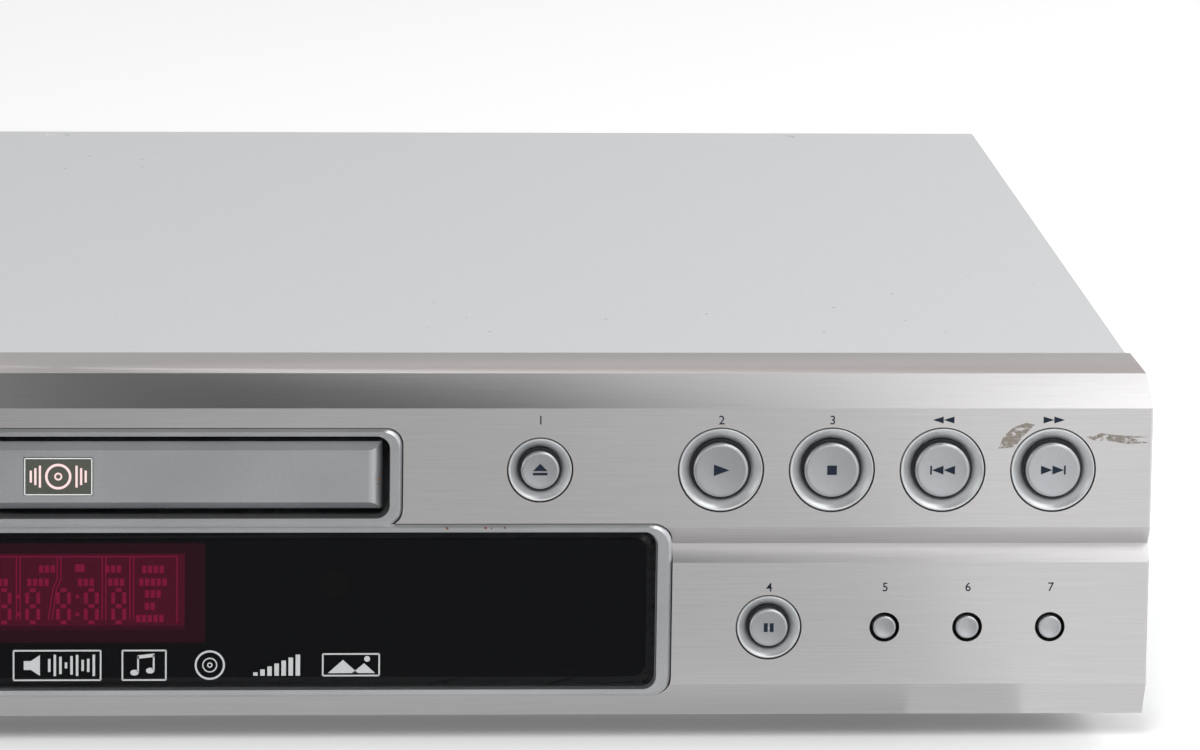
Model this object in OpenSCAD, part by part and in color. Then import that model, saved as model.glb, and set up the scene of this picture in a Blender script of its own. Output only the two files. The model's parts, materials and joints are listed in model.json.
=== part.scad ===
// DVD player with a front loading tray: casing, front controls, disc loader,
// pickup, boards and rear sockets. X runs to the right, Y to the back, Z up.
// The origin is the middle of the footprint, on the surface that the feet stand on.

/* [Casing] */
// Width across the front panel
case_w = 434; // [426:1:446]
// Height to the top of the front panel
case_h = 75; // [74:0.5:80]
// Depth from the front face to the outside of the rear panel
body_d = 300.8; // [296:0.2:320]
// Height of the chassis pan above the surface it stands on
foot_h = 7.5; // [6:0.1:8]
// Radius of a foot
foot_r = 11; // [8:0.5:14]
// Thickness of the chassis and rear panel steel
sheet_t = 1; // [0.8:0.1:1.4]
// Thickness of the cover steel
cover_t = 0.8; // [0.6:0.1:1]
// How far the sockets stand out at the back
socket_out = 9.6; // [8:0.1:11]

/* [Front panel] */
// Wall of the aluminium fascia
skin_t = 2; // [1.6:0.1:2.4]
// Depth of the fascia with its top and bottom returns
fascia_d = 31.3; // [28:0.1:36]
// Depth of the sloping edge along the top
slope_d = 10; // [8:0.5:12]
// Height of the sloping edge along the top
slope_h = 5.1; // [4:0.1:6]
// Distance of the long groove below the middle of the tray opening
groove_drop = 13.8; // [13:0.1:14.6]
// Height of the long groove
groove_h = 7.2; // [6:0.1:8]
// Depth of the long groove
groove_d = 3; // [2:0.1:3.2]
// Top of the slope along the bottom edge
chin_top = 13.8; // [13:0.1:16]
// Depth of the slope along the bottom edge
chin_d = 4.2; // [3:0.1:5]
// Distance from the top of the panel to the middle of the tray opening
tray_drop = 19; // [18.6:0.1:19.4]
// Height of the tray opening
open_h = 16.6; // [16:0.1:17.2]
// Height of the lower edge of the display window
window_low = 12.9; // [12.6:0.1:15]
// Distance from the end of the panel to the display window
window_inset = 98.3; // [97:0.1:112]
// Thickness of the smoked window
glass_t = 2.2; // [1.8:0.1:2.4]
// Width of the display's opening behind the window
display_w = 58.4; // [52:0.2:60]
// Height of the display's opening behind the window
display_h = 20.8; // [18:0.2:21]

/* [Buttons] */
// Height of the upper row of buttons above the middle of the tray opening
upper_rise = 1.45; // [0.5:0.05:2]
// Distance of the lower row of buttons below the middle of the window
lower_drop = 3.45; // [2:0.05:4]
// Distance from the end of the panel to the last button of the upper row
key_inset = 19.79; // [18:0.01:22]
// Spacing of the upper row
key_pitch = 22.07; // [20:0.01:22.3]
// Distance from the end of the panel to the last small button
small_inset = 19.64; // [17:0.01:22]
// Spacing of the small buttons
small_pitch = 16.58; // [14:0.01:17]
// Distance from the pause button to the first small button
pause_gap = 23.15; // [20:0.01:25]
// Distance from the end of the panel to the power button
power_inset = 24; // [20:0.1:30]
// Radius of a large button
large_r = 5.45; // [4.5:0.05:6]
// Radius of a medium button
medium_r = 3.8; // [3.2:0.05:4.2]
// Radius of a small button
small_r = 2.3; // [2:0.05:2.6]
// Travel of a button
key_travel = 0.6; // [0.3:0.05:0.7]
// Travel of the power button
power_travel = 1; // [0.6:0.05:1]
// How far the buttons stand out of the panel
key_proud = 0.4; // [0.3:0.05:0.8]

/* [Disc loader] */
// Radius of a full size disc
disc_r = 60; // [60:0.1:60.6]
// Radius of a small disc
small_disc_r = 40; // [40:0.1:40.4]
// Play round a disc in its recess
disc_play = 0.75; // [0.5:0.05:1]
// Distance that the tray slides out
tray_travel = 140; // [120:1:140]
// Angle that the lift frame drops through
lift_drop = 3.3; // [2.5:0.1:3.4]
// Clearance of sliding faces in the loader
slide_gap = 0.2; // [0.15:0.01:0.25]
// Radial clearance of gears on their posts
bore_gap = 0.05; // [0.03:0.01:0.08]
// Radius of the posts that the loading gears turn on
axle_r = 1.5; // [1.3:0.05:1.7]

/* [Gears] */
// Module of the tray rack and its pinion
rack_m = 1; // [0.9:0.05:1.05]
// Teeth of the tray pinion
rack_pinion_z = 16; // [14:1:16]
// Module of the loading gears
train_m = 0.8; // [0.75:0.05:0.8]
// Teeth of the large loading wheel
wheel_z = 40; // [36:2:40]
// Teeth of the pinion on the pulley
pulley_pinion_z = 14; // [12:1:14]
// Module of the pickup rack and its pinion
feed_m = 0.6; // [0.55:0.05:0.6]
// Teeth of the pickup pinion
feed_pinion_z = 14; // [12:2:14]
// Module of the feed reduction
motor_m = 0.5; // [0.45:0.05:0.5]
// Teeth of the large feed wheel
feed_wheel_z = 44; // [40:4:44]
// Teeth of the pinion on the feed motor
motor_pinion_z = 12; // [12:2:14]

/* [Boards and sockets] */
// Thickness of the circuit boards
board_t = 1.6; // [1.2:0.1:1.6]
// Height of the boards above the chassis pan
board_h = 7.5; // [5:0.5:8]
// Outer radius of a phono socket
phono_r = 4.15; // [4.1:0.01:4.2]
// Bore of the socket's centre contact
phono_bore = 1.6; // [1.55:0.01:1.65]

/* [Hidden] */
$fn = 48;

// Casing
half_w = case_w / 2;
front_y = -(body_d + socket_out - key_proud) / 2;
rear_y = front_y + body_d;
pan_top = foot_h + sheet_t;
pad_h = 1;
end_taper = 0.6;             // the fascia's ends lean in towards the back
end_chamfer = 0.35;
chin_z = foot_h - 0.8;       // the fascia hangs a little below the pan
chin_return = 14;
panel_gap = 0.3;
cover_x = half_w - 1.4;      // the cover stands in from the fascia's ends
cover_top = case_h - 0.3;
cover_under = cover_top - cover_t;
cover_y0 = front_y + fascia_d + panel_gap;
cover_inner = cover_x - cover_t;
tongue_drop = 1.8;           // the cover's front lip steps down under the fascia
flange_h = 12;

// Front panel, with depths measured back from the front face
tray_z = case_h - tray_drop;
groove_z = tray_z - groove_drop;
fascia_top = case_h - slope_h;
groove_lo = groove_z - groove_h / 2;
groove_hi = groove_z + groove_h / 2;
groove_mid = groove_z - 0.3;
fascia_path = [
    [fascia_d, case_h], [slope_d, case_h], [0, fascia_top],
    [0, groove_hi], [groove_d, groove_mid], [0, groove_lo],
    [0, chin_top], [chin_d, chin_z], [chin_return, chin_z]];
groove_back = inset_path(fascia_path, skin_t)[4][0];   // inside of the groove's fold
frame_d = groove_back + 0.1;                          // front of the carrier plate
frame_t = 2.6;
frame_back = frame_d + frame_t;
shelf_t = 2;
shelf_z = cover_under - tongue_drop - cover_t - 4;
rib_gap = 0.1;

// Tray, disc and loader frame
recess_r = disc_r + disc_play;
recess_wall = 1.75;
tray_half = recess_r + recess_wall;
flange_w = 1.4;
flange_half = tray_half + flange_w;
side_gap = 0.3;
wall_in = flange_half + side_gap;
wall_t = 3;
wall_out = wall_in + wall_t;
open_half = wall_in + 1.2;   // half width of the tray opening
ring_side = 2.4;
ring_w = 1.45;
ring_half_h = open_h / 2 + ring_w;
rim_c = 0.6;                 // chamfer of the escutcheon's edges
window_lip = 1.5;
lip_side = 2.8;
lip_overlap = 0.15;          // the window's lip runs into the tray ring
tunnel_d = 12;
window_half = half_w - window_inset;
window_top = tray_z - ring_half_h + lip_overlap - window_lip;
window_z = (window_top + window_low) / 2;
ledge_w = 1.9;
glass_sink = 0.6;
ledge_d = glass_t + glass_sink;
door_gap_x = 1.35;
door_half = open_half - door_gap_x;
door_h = open_h - 3.1;
door_z = tray_z + 0.15;
door_face = 0.4;
door_back = 7;
door_gap = 0.1;
tray_y0 = front_y + door_back;
disc_y = tray_y0 + 10.25 + recess_r;
tray_y1 = disc_y + 103;
tray_low = tray_z - 3.6;
seat_z = tray_z - 1;
small_seat_z = tray_z - 2.1;
tray_top = tray_z + 2.5;
rail_low = tray_z - 3;
rail_t = 1.6;
slot_half = 26;
loader_y0 = front_y + tunnel_d;
loader_y1 = tray_y1 + 10;
loader_top = tray_z + 6.5;
pivot_z = tray_z - 18;
slider_low = pivot_z - 10;
slider_rail_t = 1.8;
loader_low = slider_low - slider_rail_t - 2.2;
loader_step_y = tray_y0 + 24;
floor_top = tray_z - 10;
floor_t = 2;
ear_t = 2;
ear_w = 10;
ear_ys = [disc_y - 13, tray_y1 - 1];
stand_r = 4;
screw_r = 1.3;

// Loading train
rack_inset = 8.5;
rack_x = tray_half - rack_inset;
rack_r = rack_m * rack_pinion_z / 2;
drive_x = rack_x - rack_r;
drive_y = tray_y0 + 30;
mesh_gap = 0.04;
train_dist = train_m * (wheel_z + pulley_pinion_z) / 2 + mesh_gap;
pulley_x = drive_x - train_dist;
belt_span = 36.4;
motor_x = pulley_x - belt_span;
wheel_low = floor_top + 0.4;
wheel_t = 2;
pinion_top = tray_low - 0.4;
belt_t = 1.1;
belt_gap = 0.05;
pulley_groove = 10.8;
pulley_rim = 12.2;
motor_groove = 2.8;
motor_rim = 4.2;
pulley_low = wheel_low + wheel_t + 0.8;
belt_z = (pulley_low + pinion_top) / 2;
groove_w = 1.6;
motor_r = 9.5;
motor_h = 14;
shaft_r = 1;

// Lift frame, traverse and pickup
rod_x = 22;
feed_rack_x = rod_x + 8.5;
feed_r = feed_m * feed_pinion_z / 2;
feed_x = feed_rack_x + feed_r + mesh_gap;
feed_motor_r = 8;
motor_room = 3.26;           // between the feed motor and the lift frame
pivot_y = disc_y + 97;
pivot_r = 2;
ring_bar = 4;
ring_half = feed_x + feed_motor_r + motor_room + ring_bar;
ring_y0 = disc_y - 22;
ring_y1 = pivot_y + ring_bar;
ring_low = pivot_z - 3;
ring_top = pivot_z + 3;
front_pin_r = 1.5;
slider_y0 = ring_y0 - 4.8;
slider_t = 3.4;
slider_top = floor_top - slide_gap;
slider_w = 50;
slider_x0 = -30;
slot_run = 24;
slot_r = front_pin_r + 0.35;
slot_fall = (pivot_y - slider_y0 - slider_t / 2) * sin(lift_drop);
post_x = ring_half - 12;
post_xy = [[post_x, disc_y - 11], [post_x, disc_y + 82]];
post_r = 1.55;
damper_gap = 0.05;
plate_low = ring_top + 1.5;
plate_t = 1.2;
plate_top = plate_low + plate_t;
rod_r = 1.5;
rod_z0 = plate_top + 4.3;
rod_y0 = disc_y + 7;
rod_y1 = disc_y + 85;
sled_y0 = disc_y + 14;
sled_y1 = disc_y + 42;
lens_y = disc_y + 23;
sled_half = rod_x + 6;
sled_low = plate_top + 1.9;
sled_mid = plate_top + 7.5;
sled_top = plate_top + 9.7;
feed_travel = 35;
feed_y = disc_y + 47;
feed_dist = motor_m * (feed_wheel_z + motor_pinion_z) / 2 + mesh_gap;
feed_low = plate_top + 0.3;
feed_wheel_t = 1.4;
feed_motor_h = 12;

// Boards, display and rear sockets
front_board_d = frame_back + 7;
display_z = window_z + 2.2;
tube_half = display_w / 2 + 2.8;
sensor_x = 55;
sensor_r = 3;
sensor_z = window_z + 4.1;
switch_h = 3.3;
plunger_d = front_board_d - switch_h - 1.5;
board_z = pan_top + board_h;
board_top = board_z + board_t;
jack_back = rear_y - sheet_t;
phono_lip = 0.75;
core_gap = 0.05;
board_margin = 11;           // from the end of the front panel to the boards
board_x1 = half_w - board_margin;
stand_inset = 6;
main_x0 = wall_out + ear_w + 6.8;
main_y0 = front_y + 95;
main_y1 = rear_y - 65.8;
power_x1 = -main_x0 - 8;
power_y0 = front_y + 135;
power_y1 = rear_y - 22;
capacitor_r = 11;            // mains capacitor
capacitor_x = 22 - board_x1;
capacitor_y = power_y0 + 0.35 * (power_y1 - power_y0);
sink_x = power_x1 - 28;      // heat sink
sink_y0 = power_y0 + 30;
sink_len = 50;
sink_h = 26;
core_room = sink_x - capacitor_x - capacitor_r;
core_x = sink_x - core_room / 2;
core_y = power_y0 + 0.46 * (power_y1 - power_y0);
core_half = 0.3 * core_room; // half width of the transformer
core_leg = 0.44 * core_half;
jack_x0 = 2;
jack_y0 = rear_y - 50;
mould_y0 = rear_y - 17;
jack_row = board_top + 4.4;  // lowest row of sockets
jack_top = case_h - 21;      // highest row of sockets
video_pitch = (jack_top - jack_row) / 2;
audio_x = board_x1 - 56;
audio_pitch = 18;
video_x = 96;
round_x = 72;
optical_x = 48;
hdmi_x = 20;
inlet_x = -half_w + 37;
foot_x = half_w - 37;

// Named places of the controls: middle X, Z, radius and travel
large_cup = large_r + 2.95;
medium_cup = medium_r + 2.6;
upper_z = tray_z + upper_rise;
lower_z = window_z - lower_drop;
play_x = half_w - key_inset - 3 * key_pitch;
open_x = (open_half + ring_side + play_x - large_cup) / 2 - 0.1;
small_x = half_w - small_inset - 2 * small_pitch;
pause_x = small_x - pause_gap;
large_keys = [
    [power_inset - half_w, upper_z], [play_x, upper_z], [play_x + key_pitch, upper_z],
    [play_x + 2 * key_pitch, upper_z], [play_x + 3 * key_pitch, upper_z]];
medium_keys = [[open_x, upper_z], [pause_x, lower_z]];
small_keys = [for (i = [0:2]) [small_x + i * small_pitch, lower_z]];
all_keys = concat([for (k = large_keys) [k[0], k[1], large_r]],
    [for (k = medium_keys) [k[0], k[1], medium_r]], [for (k = small_keys) [k[0], k[1], small_r]]);
small_hole = small_r + 0.7;
key_gap = 0.1;
stem_r = 1.6;
cap_skirt = 0.7;
cap_hollow = 0.15;           // the middle of a cap's face lies lower than its edge
cup_depth = 1.3;
inlay_gap = 0.2;             // round the pieces let into the fascia
function stem_of(r) = min(stem_r, r - cap_skirt - 0.5);

phono_places = [
    for (i = [0:2], z = [6, 24]) [audio_x + i * audio_pitch, jack_row + z],
    for (i = [0:2]) [video_x, jack_row + i * video_pitch],
    [round_x, jack_row], [optical_x, jack_row]];
round_z = jack_row + 20;

// Shapes that repeat

module block(lo, hi) {
    translate(lo) cube(hi - lo);
}

module rod_along_x(x0, x1, y, z, r) {
    translate([x0, y, z]) rotate([0, 90, 0]) cylinder(h = x1 - x0, r = r);
}

module rod_along_y(x, y0, y1, z, r) {
    translate([x, y0, z]) rotate([-90, 0, 0]) cylinder(h = y1 - y0, r = r);
}

module rod_up(x, y, z0, z1, r) {
    translate([x, y, z0]) cylinder(h = z1 - z0, r = r);
}

// A flat shape drawn in X and Z, from y0 back to y1
module front_plate(y0, y1) {
    translate([0, y1, 0]) rotate([90, 0, 0]) linear_extrude(y1 - y0) children();
}

// A flat shape drawn in X and Y, from z0 up to z1
module level_plate(z0, z1) {
    translate([0, 0, z0]) linear_extrude(z1 - z0) children();
}

// A flat shape drawn in Y and Z, from x0 to x1
module side_plate(x0, x1) {
    translate([x0, 0, 0]) rotate([90, 0, 90]) linear_extrude(x1 - x0) children();
}

// A shape turned about a line along Y, drawn as radius and depth from the front face
module turned_at(x, z) {
    translate([x, front_y, z]) rotate([-90, 0, 0]) rotate_extrude() children();
}

module rounded_rect(lo, hi, r) {
    w = hi[0] - lo[0];
    h = hi[1] - lo[1];
    translate([lo[0] + r, lo[1]]) square([w - 2 * r, h]);
    translate([lo[0], lo[1] + r]) square([w, h - 2 * r]);
    for (x = [lo[0] + r, hi[0] - r], y = [lo[1] + r, hi[1] - r])
        translate([x, y]) circle(r);
}

// A rounded rectangle centred on a point of the front panel
module panel_rect(half, z0, z1, r) {
    rounded_rect([-half, z0], [half, z1], r);
}

// Both mirror halves of a shape
module both_sides() {
    children();
    mirror([1, 0, 0]) children();
}

function reversed(list) = [for (i = [len(list) - 1:-1:0]) list[i]];
function side_normal(a, b) = [a[1] - b[1], b[0] - a[0]] / norm(b - a);

// The path moved sideways by t, with mitred corners
function inset_path(path, t) = [
    for (i = [0:len(path) - 1])
        let (before = side_normal(path[max(i - 1, 0)], path[max(i, 1)]),
             last = len(path) - 1,
             after = side_normal(path[min(i, last - 1)], path[min(i + 1, last)]))
        path[i] + t * (before + after) / (1 + before * after)];

// Depths from the front face turned into places along Y
function at_face(path) = [for (p = path) [front_y + p[0], p[1]]];

// Involute gear outline: module, teeth, thinning at the pitch line, turn in degrees
pressure = 20;
function roll_angle(a) = tan(a) * 180 / PI - a;
function tooth_half(m, z, r, play) =
    let (base = m * z / 2 * cos(pressure))
    90 / z - play / (m * z) * 180 / PI + roll_angle(pressure)
        - roll_angle(r > base ? acos(base / r) : 0);
function gear_points(m, z, turn = 0, play = 0.08) =
    let (pitch_r = m * z / 2, base = pitch_r * cos(pressure),
         root = pitch_r - 1.25 * m, tip = pitch_r + m,
         radii = [root, max(base, root + 0.05 * m), pitch_r, pitch_r + 0.55 * m, tip])
    [for (k = [0:z - 1], side = [-1, 1], i = [0:4])
        let (r = radii[side < 0 ? i : 4 - i],
             a = 360 * k / z + turn + side * tooth_half(m, z, r, play * m))
        [r * cos(a), r * sin(a)]];

module gear(m, z, x, y, z0, z1, turn = 0) {
    translate([x, y, 0]) level_plate(z0, z1) polygon(gear_points(m, z, turn));
}

// Rack outline along Y from its first tooth, with the teeth towards +X
function rack_points(m, y0, y1, first, back) =
    let (pitch = PI * m, lean = tan(pressure), w = pitch / 4 - 0.04 * m,
         count = floor((y1 - first - 0.3 * pitch) / pitch))
    concat([[-back, y0], [-1.25 * m, y0]],
        [for (k = [0:count], p = [[-1.25, -1], [1, -1], [1, 1], [-1.25, 1]])
            [p[0] * m, first + k * pitch + p[1] * (w - p[0] * m * lean)]],
        [[-1.25 * m, y1], [-back, y1]]);

module pan_screw(length, head_r = 2.8, head_h = 1.3) {
    difference() {
        rotate_extrude() polygon([
            [0, -length], [screw_r, -length], [screw_r, 0], [head_r, 0],
            [head_r, head_h * 0.4], [head_r * 0.72, head_h], [0, head_h]]);
        for (a = [0, 90]) rotate(a)
            translate([-head_r * 0.6, -0.35, head_h * 0.45]) cube([head_r * 1.2, 0.7, head_h]);
    }
}

// Outlines that several pieces share

module ring_outline(grow = 0) {
    panel_rect(open_half + ring_side + grow, tray_z - ring_half_h - grow,
        tray_z + ring_half_h + grow, 3.4);
}

module window_outline(grow = 0) {
    panel_rect(window_half + lip_side + grow, window_low - window_lip - grow,
        window_top + window_lip + grow, 4);
}

module tray_opening(grow = 0) {
    panel_rect(open_half + grow, tray_z - open_h / 2 - grow, tray_z + open_h / 2 + grow, 2.7);
}

module window_opening(grow = 0) {
    panel_rect(window_half + grow, window_low - grow, window_top + grow, 2.65);
}

// Casing

module front_fascia() {
    back = end_taper;
    color("#b9b6ae")
    difference() {
        intersection() {
            side_plate(-half_w, half_w)
                polygon(at_face(concat(fascia_path, reversed(inset_path(fascia_path, skin_t)))));
            level_plate(0, case_h) polygon(concat(
                [[-half_w + back, front_y + fascia_d], [-half_w, front_y + end_chamfer]],
                [[-half_w + end_chamfer, front_y], [half_w - end_chamfer, front_y]],
                [[half_w, front_y + end_chamfer], [half_w - back, front_y + fascia_d]]));
        }
        front_plate(front_y - 1, front_y + frame_d + 1) {
            ring_outline(inlay_gap);
            window_outline(inlay_gap);
            for (k = large_keys) translate(k) circle(large_cup + inlay_gap);
            for (k = medium_keys) translate(k) circle(medium_cup + inlay_gap);
            for (k = small_keys) translate(k) circle(small_hole);
        }
    }
}

module chamfered(z_front, c) {
    hull() {
        front_plate(front_y + z_front + c, front_y + frame_d) children(0);
        front_plate(front_y + z_front, front_y + z_front + c) children(1);
    }
}

module escutcheon() {
    color("#a7a8a2")
    difference() {
        union() {
            chamfered(-0.2, rim_c) { ring_outline($fn = 32); ring_outline(-rim_c, $fn = 32); }
            chamfered(-0.2, rim_c) { window_outline($fn = 32); window_outline(-rim_c, $fn = 32); }
            front_plate(front_y + frame_d, front_y + tunnel_d) ring_outline();
        }
        front_plate(front_y - 1, front_y + tunnel_d + 1) tray_opening();
        front_plate(front_y - 1, front_y + ledge_d) window_opening();
        front_plate(front_y - 1, front_y + frame_d + 1) window_opening(-ledge_w);
    }
}

module display_window() {
    edge = 0.25;
    bevel = 1.3;
    color("#14161b")
    hull() {
        front_plate(front_y + ledge_d - glass_t + 0.8, front_y + ledge_d)
            window_opening(-edge, $fn = 32);
        front_plate(front_y + ledge_d - glass_t, front_y + ledge_d - glass_t + 0.8)
            window_opening(-edge - bevel, $fn = 32);
    }
}

module front_frame() {
    inner = inset_path(fascia_path, skin_t);
    cheek_x = half_w - end_taper - 0.4;
    low = chin_z + skin_t;
    color("#26272a")
    difference() {
        union() {
            front_plate(front_y + frame_d, front_y + frame_back)
                translate([-cheek_x, low]) square([2 * cheek_x, shelf_z - low + shelf_t]);
            block([-cheek_x, front_y + frame_back, shelf_z],
                [cheek_x, front_y + fascia_d, shelf_z + shelf_t]);
            block([-cheek_x, front_y + frame_d, low],
                [cheek_x, front_y + fascia_d + panel_gap, low + shelf_t]);
            both_sides() side_plate(cheek_x - 2.4, cheek_x)
                polygon(at_face(concat(inner, [[fascia_d, inner[len(inner) - 1][1]]])));
            block([-cheek_x, front_y + slope_d + 3, shelf_z],
                [cheek_x, front_y + slope_d + 5, case_h - skin_t]);
            block([-cheek_x, front_y + fascia_d - 4, shelf_z],
                [cheek_x, front_y + fascia_d - 2, cover_under - tongue_drop - cover_t]);
            for (p = boss_places)
                rod_along_y(p[0], front_y + frame_back, front_y + front_board_d, p[1], 3);
            for (i = [0:9]) translate([foot_x * (i * 2 / 9 - 1), 0, 0])
                block([-0.8, front_y + frame_back, low], [0.8, front_y + front_board_d - 2, low + 6]);
        }
        front_plate(front_y + frame_d - 1, front_y + frame_back + 0.5) {
            ring_outline(0.2);
            rounded_rect([-display_w / 2, display_z - display_h / 2],
                [display_w / 2, display_z + display_h / 2], 0.5);
            translate([sensor_x, sensor_z]) circle(sensor_r);
        }
        for (k = all_keys)
            rod_along_y(k[0], front_y, front_y + front_board_d, k[1], stem_of(k[2]) + 0.08);
        for (p = boss_places)
            rod_along_y(p[0], front_y + frame_back + 1, front_y + front_board_d + 1, p[1], screw_r + 0.05);
    }
}

boss_x = half_w - 14;
boss_low = chin_z + 8.3;
boss_places = [
    [-boss_x, boss_low + 5], [boss_x, boss_low], [window_half + 5.3, boss_low + 5],
    [-window_half - 5.3, boss_low + 5], [open_x + 16.9, tray_z - 7],
    [play_x + 2.5 * key_pitch, tray_z - 14], [-boss_x + 51, tray_z + 4], [-boss_x, boss_low + 25]];

module top_cover() {
    rear = rear_y + cover_t;
    fold_low = cover_under - 8;
    lip = 6;
    tongue = cover_under - tongue_drop;
    skirt_low = foot_h + 0.5;
    tongue_x = half_w - 4;
    color("#c9cbcc")
    difference() {
        union() {
            side_plate(-cover_x, cover_x) polygon([
                [cover_y0, cover_top], [cover_y0, cover_under], [rear_y, cover_under],
                [rear_y, fold_low], [rear, fold_low], [rear, cover_top]]);
            side_plate(-tongue_x, tongue_x) polygon([
                [cover_y0, cover_under], [cover_y0, tongue], [cover_y0 - lip, tongue],
                [cover_y0 - lip, tongue - cover_t], [cover_y0 + cover_t, tongue - cover_t],
                [cover_y0 + cover_t, cover_under]]);
            both_sides() side_plate(cover_x - cover_t, cover_x) polygon([
                [cover_y0, skirt_low], [rear, skirt_low], [rear, cover_top], [cover_y0, cover_top]]);
        }
        // cooling slots in the side walls
        both_sides() for (i = [0:13]) side_plate(cover_x - 2, cover_x + 1)
            translate([rear_y - 125.8 + i * 7, cover_top / 2]) rounded_rect([0, -8], [3, 15], 1.4);
        // shallow pressed marks along the rear edge
        for (x = [-1, 0, 1]) rod_up(x * (cover_x - 45.6), rear - 5, cover_top - 0.3, cover_top + 1, 3);
        for (p = side_screws) both_sides()
            rod_along_x(cover_x - 2, cover_x + 1, p[0], p[1], screw_r + 0.1);
        for (x = rear_screws) rod_along_y(x, rear_y - 1, rear + 1, cover_under - 4, screw_r + 0.1);
    }
}
side_screws = [[front_y + 55, 15], [rear_y - 30, 15]];
rear_screws = [27 - half_w, 0, half_w - 27];

module bottom_chassis() {
    y0 = cover_y0 + 0.2;
    y1 = rear_y - sheet_t;
    x1 = cover_inner;
    color("#b4b7b8")
    difference() {
        union() {
            block([-x1, y0, foot_h], [x1, y1, pan_top]);
            block([-x1 + sheet_t, y0, foot_h], [x1 - sheet_t, y0 + sheet_t, pan_top + flange_h - 4]);
            both_sides() block([x1 - sheet_t, y0, foot_h], [x1, y1, pan_top + flange_h]);
            for (p = loader_stands) rod_up(p[0], p[1], pan_top, loader_low, stand_r);
            for (p = board_stands) rod_up(p[0], p[1], pan_top, board_z, stand_r - 0.5);
            for (x = [67 - half_w, half_w - 67])
                block([x - 2, y0 + 20, pan_top], [x + 2, y1 - 60, pan_top + 1.2]);
        }
        for (p = concat(loader_stands, board_stands))
            rod_up(p[0], p[1], foot_h - 1, loader_low + 1, screw_r + 0.05);
        both_sides() for (p = side_screws)
            rod_along_x(x1 - 2 * sheet_t, x1 + 1, p[0], p[1], screw_r + 0.05);
        // rows of cooling slots under the boards
        for (x = [-1, 1], i = [0:9], y = [main_y0 + 26, main_y0 + 86])
            level_plate(foot_h - 1, pan_top + 2) translate([x * (main_x0 + 26) + (i - 4.5) * 7, y])
                rounded_rect([-1.5, -16], [1.5, 16], 1.45);
        for (p = foot_places) rod_up(p[0], p[1], foot_h - 1, pan_top + 1, screw_r + 0.05);
    }
}
foot_places = [for (x = [-foot_x, foot_x], y = [front_y + 55, rear_y - 30]) [x, y]];
loader_stands = [for (x = [-1, 1], y = ear_ys) [x * (wall_out + ear_w / 2), y]];
board_stands = concat(
    [for (x = [main_x0 + stand_inset, board_x1 - stand_inset],
          y = [main_y0 + stand_inset, main_y1 - stand_inset]) [x, y]],
    [for (x = [stand_inset - board_x1, power_x1 - stand_inset],
          y = [power_y0 + stand_inset, power_y1 - stand_inset]) [x, y]],
    [for (x = [jack_x0 + stand_inset, board_x1 - stand_inset]) [x, jack_y0 + 4]]);

module rear_panel() {
    x1 = cover_inner;
    color("#9da0a2")
    difference() {
        block([-x1, jack_back, foot_h], [x1, rear_y, cover_under]);
        front_plate(jack_back - 1, rear_y + 1) {
            for (p = phono_places) translate(p) circle(phono_r + phono_lip + 0.2);
            translate([round_x, round_z]) circle(6.7);
            translate([hdmi_x, board_top]) rounded_rect([-7.8, -0.2], [7.8, 6.4], 0.6);
            translate([optical_x, jack_row]) rounded_rect([-6.2, 10.8], [6.2, 25.2], 0.6);
            translate([inlet_x, 0])
                rounded_rect([-12.2, inlet_low - 0.2], [12.2, inlet_top + 0.2], 0.4);
            for (x = rear_screws) translate([x, cover_under - 4]) circle(screw_r + 0.05);
            for (i = [0:11], z = [jack_row + 16, jack_row + 30]) translate([inlet_x + 40 + i * 8, z])
                rounded_rect([-1.4, -5], [1.4, 5], 1.35);
        }
    }
}

module feet() {
    color("#1d1d1f")
    for (p = foot_places) translate([p[0], p[1], 0]) {
        rotate_extrude() polygon([
            [screw_r + 0.05, pad_h + 2.4], [3, pad_h + 2.4], [3, pad_h + 0.4],
            [foot_r - 3, pad_h + 0.4], [foot_r - 3, pad_h], [foot_r - 0.6, pad_h],
            [foot_r, pad_h + 0.8], [foot_r - 0.8, foot_h], [screw_r + 0.05, foot_h]]);
    }
}

module foot_pads() {
    color("#3a3a3c")
    for (p = foot_places) translate([p[0], p[1], 0])
        rotate_extrude() polygon([
            [0, 0], [foot_r - 3.6, 0], [foot_r - 3.2, 0.4], [foot_r - 3.2, pad_h + 0.4],
            [3.2, pad_h + 0.4], [0, pad_h + 0.4]]);
}

// Front controls

// A dished ring round a button, as radius and depth
function cup_profile(outer, inner) =
    let (lip = 0.3, corner = 0.2, throat = 0.5, span = outer - corner - lip - inner - throat)
    concat([[outer, corner], [outer, frame_d], [inner, frame_d], [inner, cup_depth + 0.9]],
        [for (s = [0:0.125:1]) [inner + throat + span * s, cup_depth * cos(90 * s)]],
        [[outer - corner, 0]]);

module button_cups() {
    color("#a2a39d") {
        for (k = large_keys) turned_at(k[0], k[1])
            polygon(cup_profile(large_cup, large_r + key_gap));
        for (k = medium_keys) turned_at(k[0], k[1])
            polygon(cup_profile(medium_cup, medium_r + key_gap));
    }
}

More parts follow.
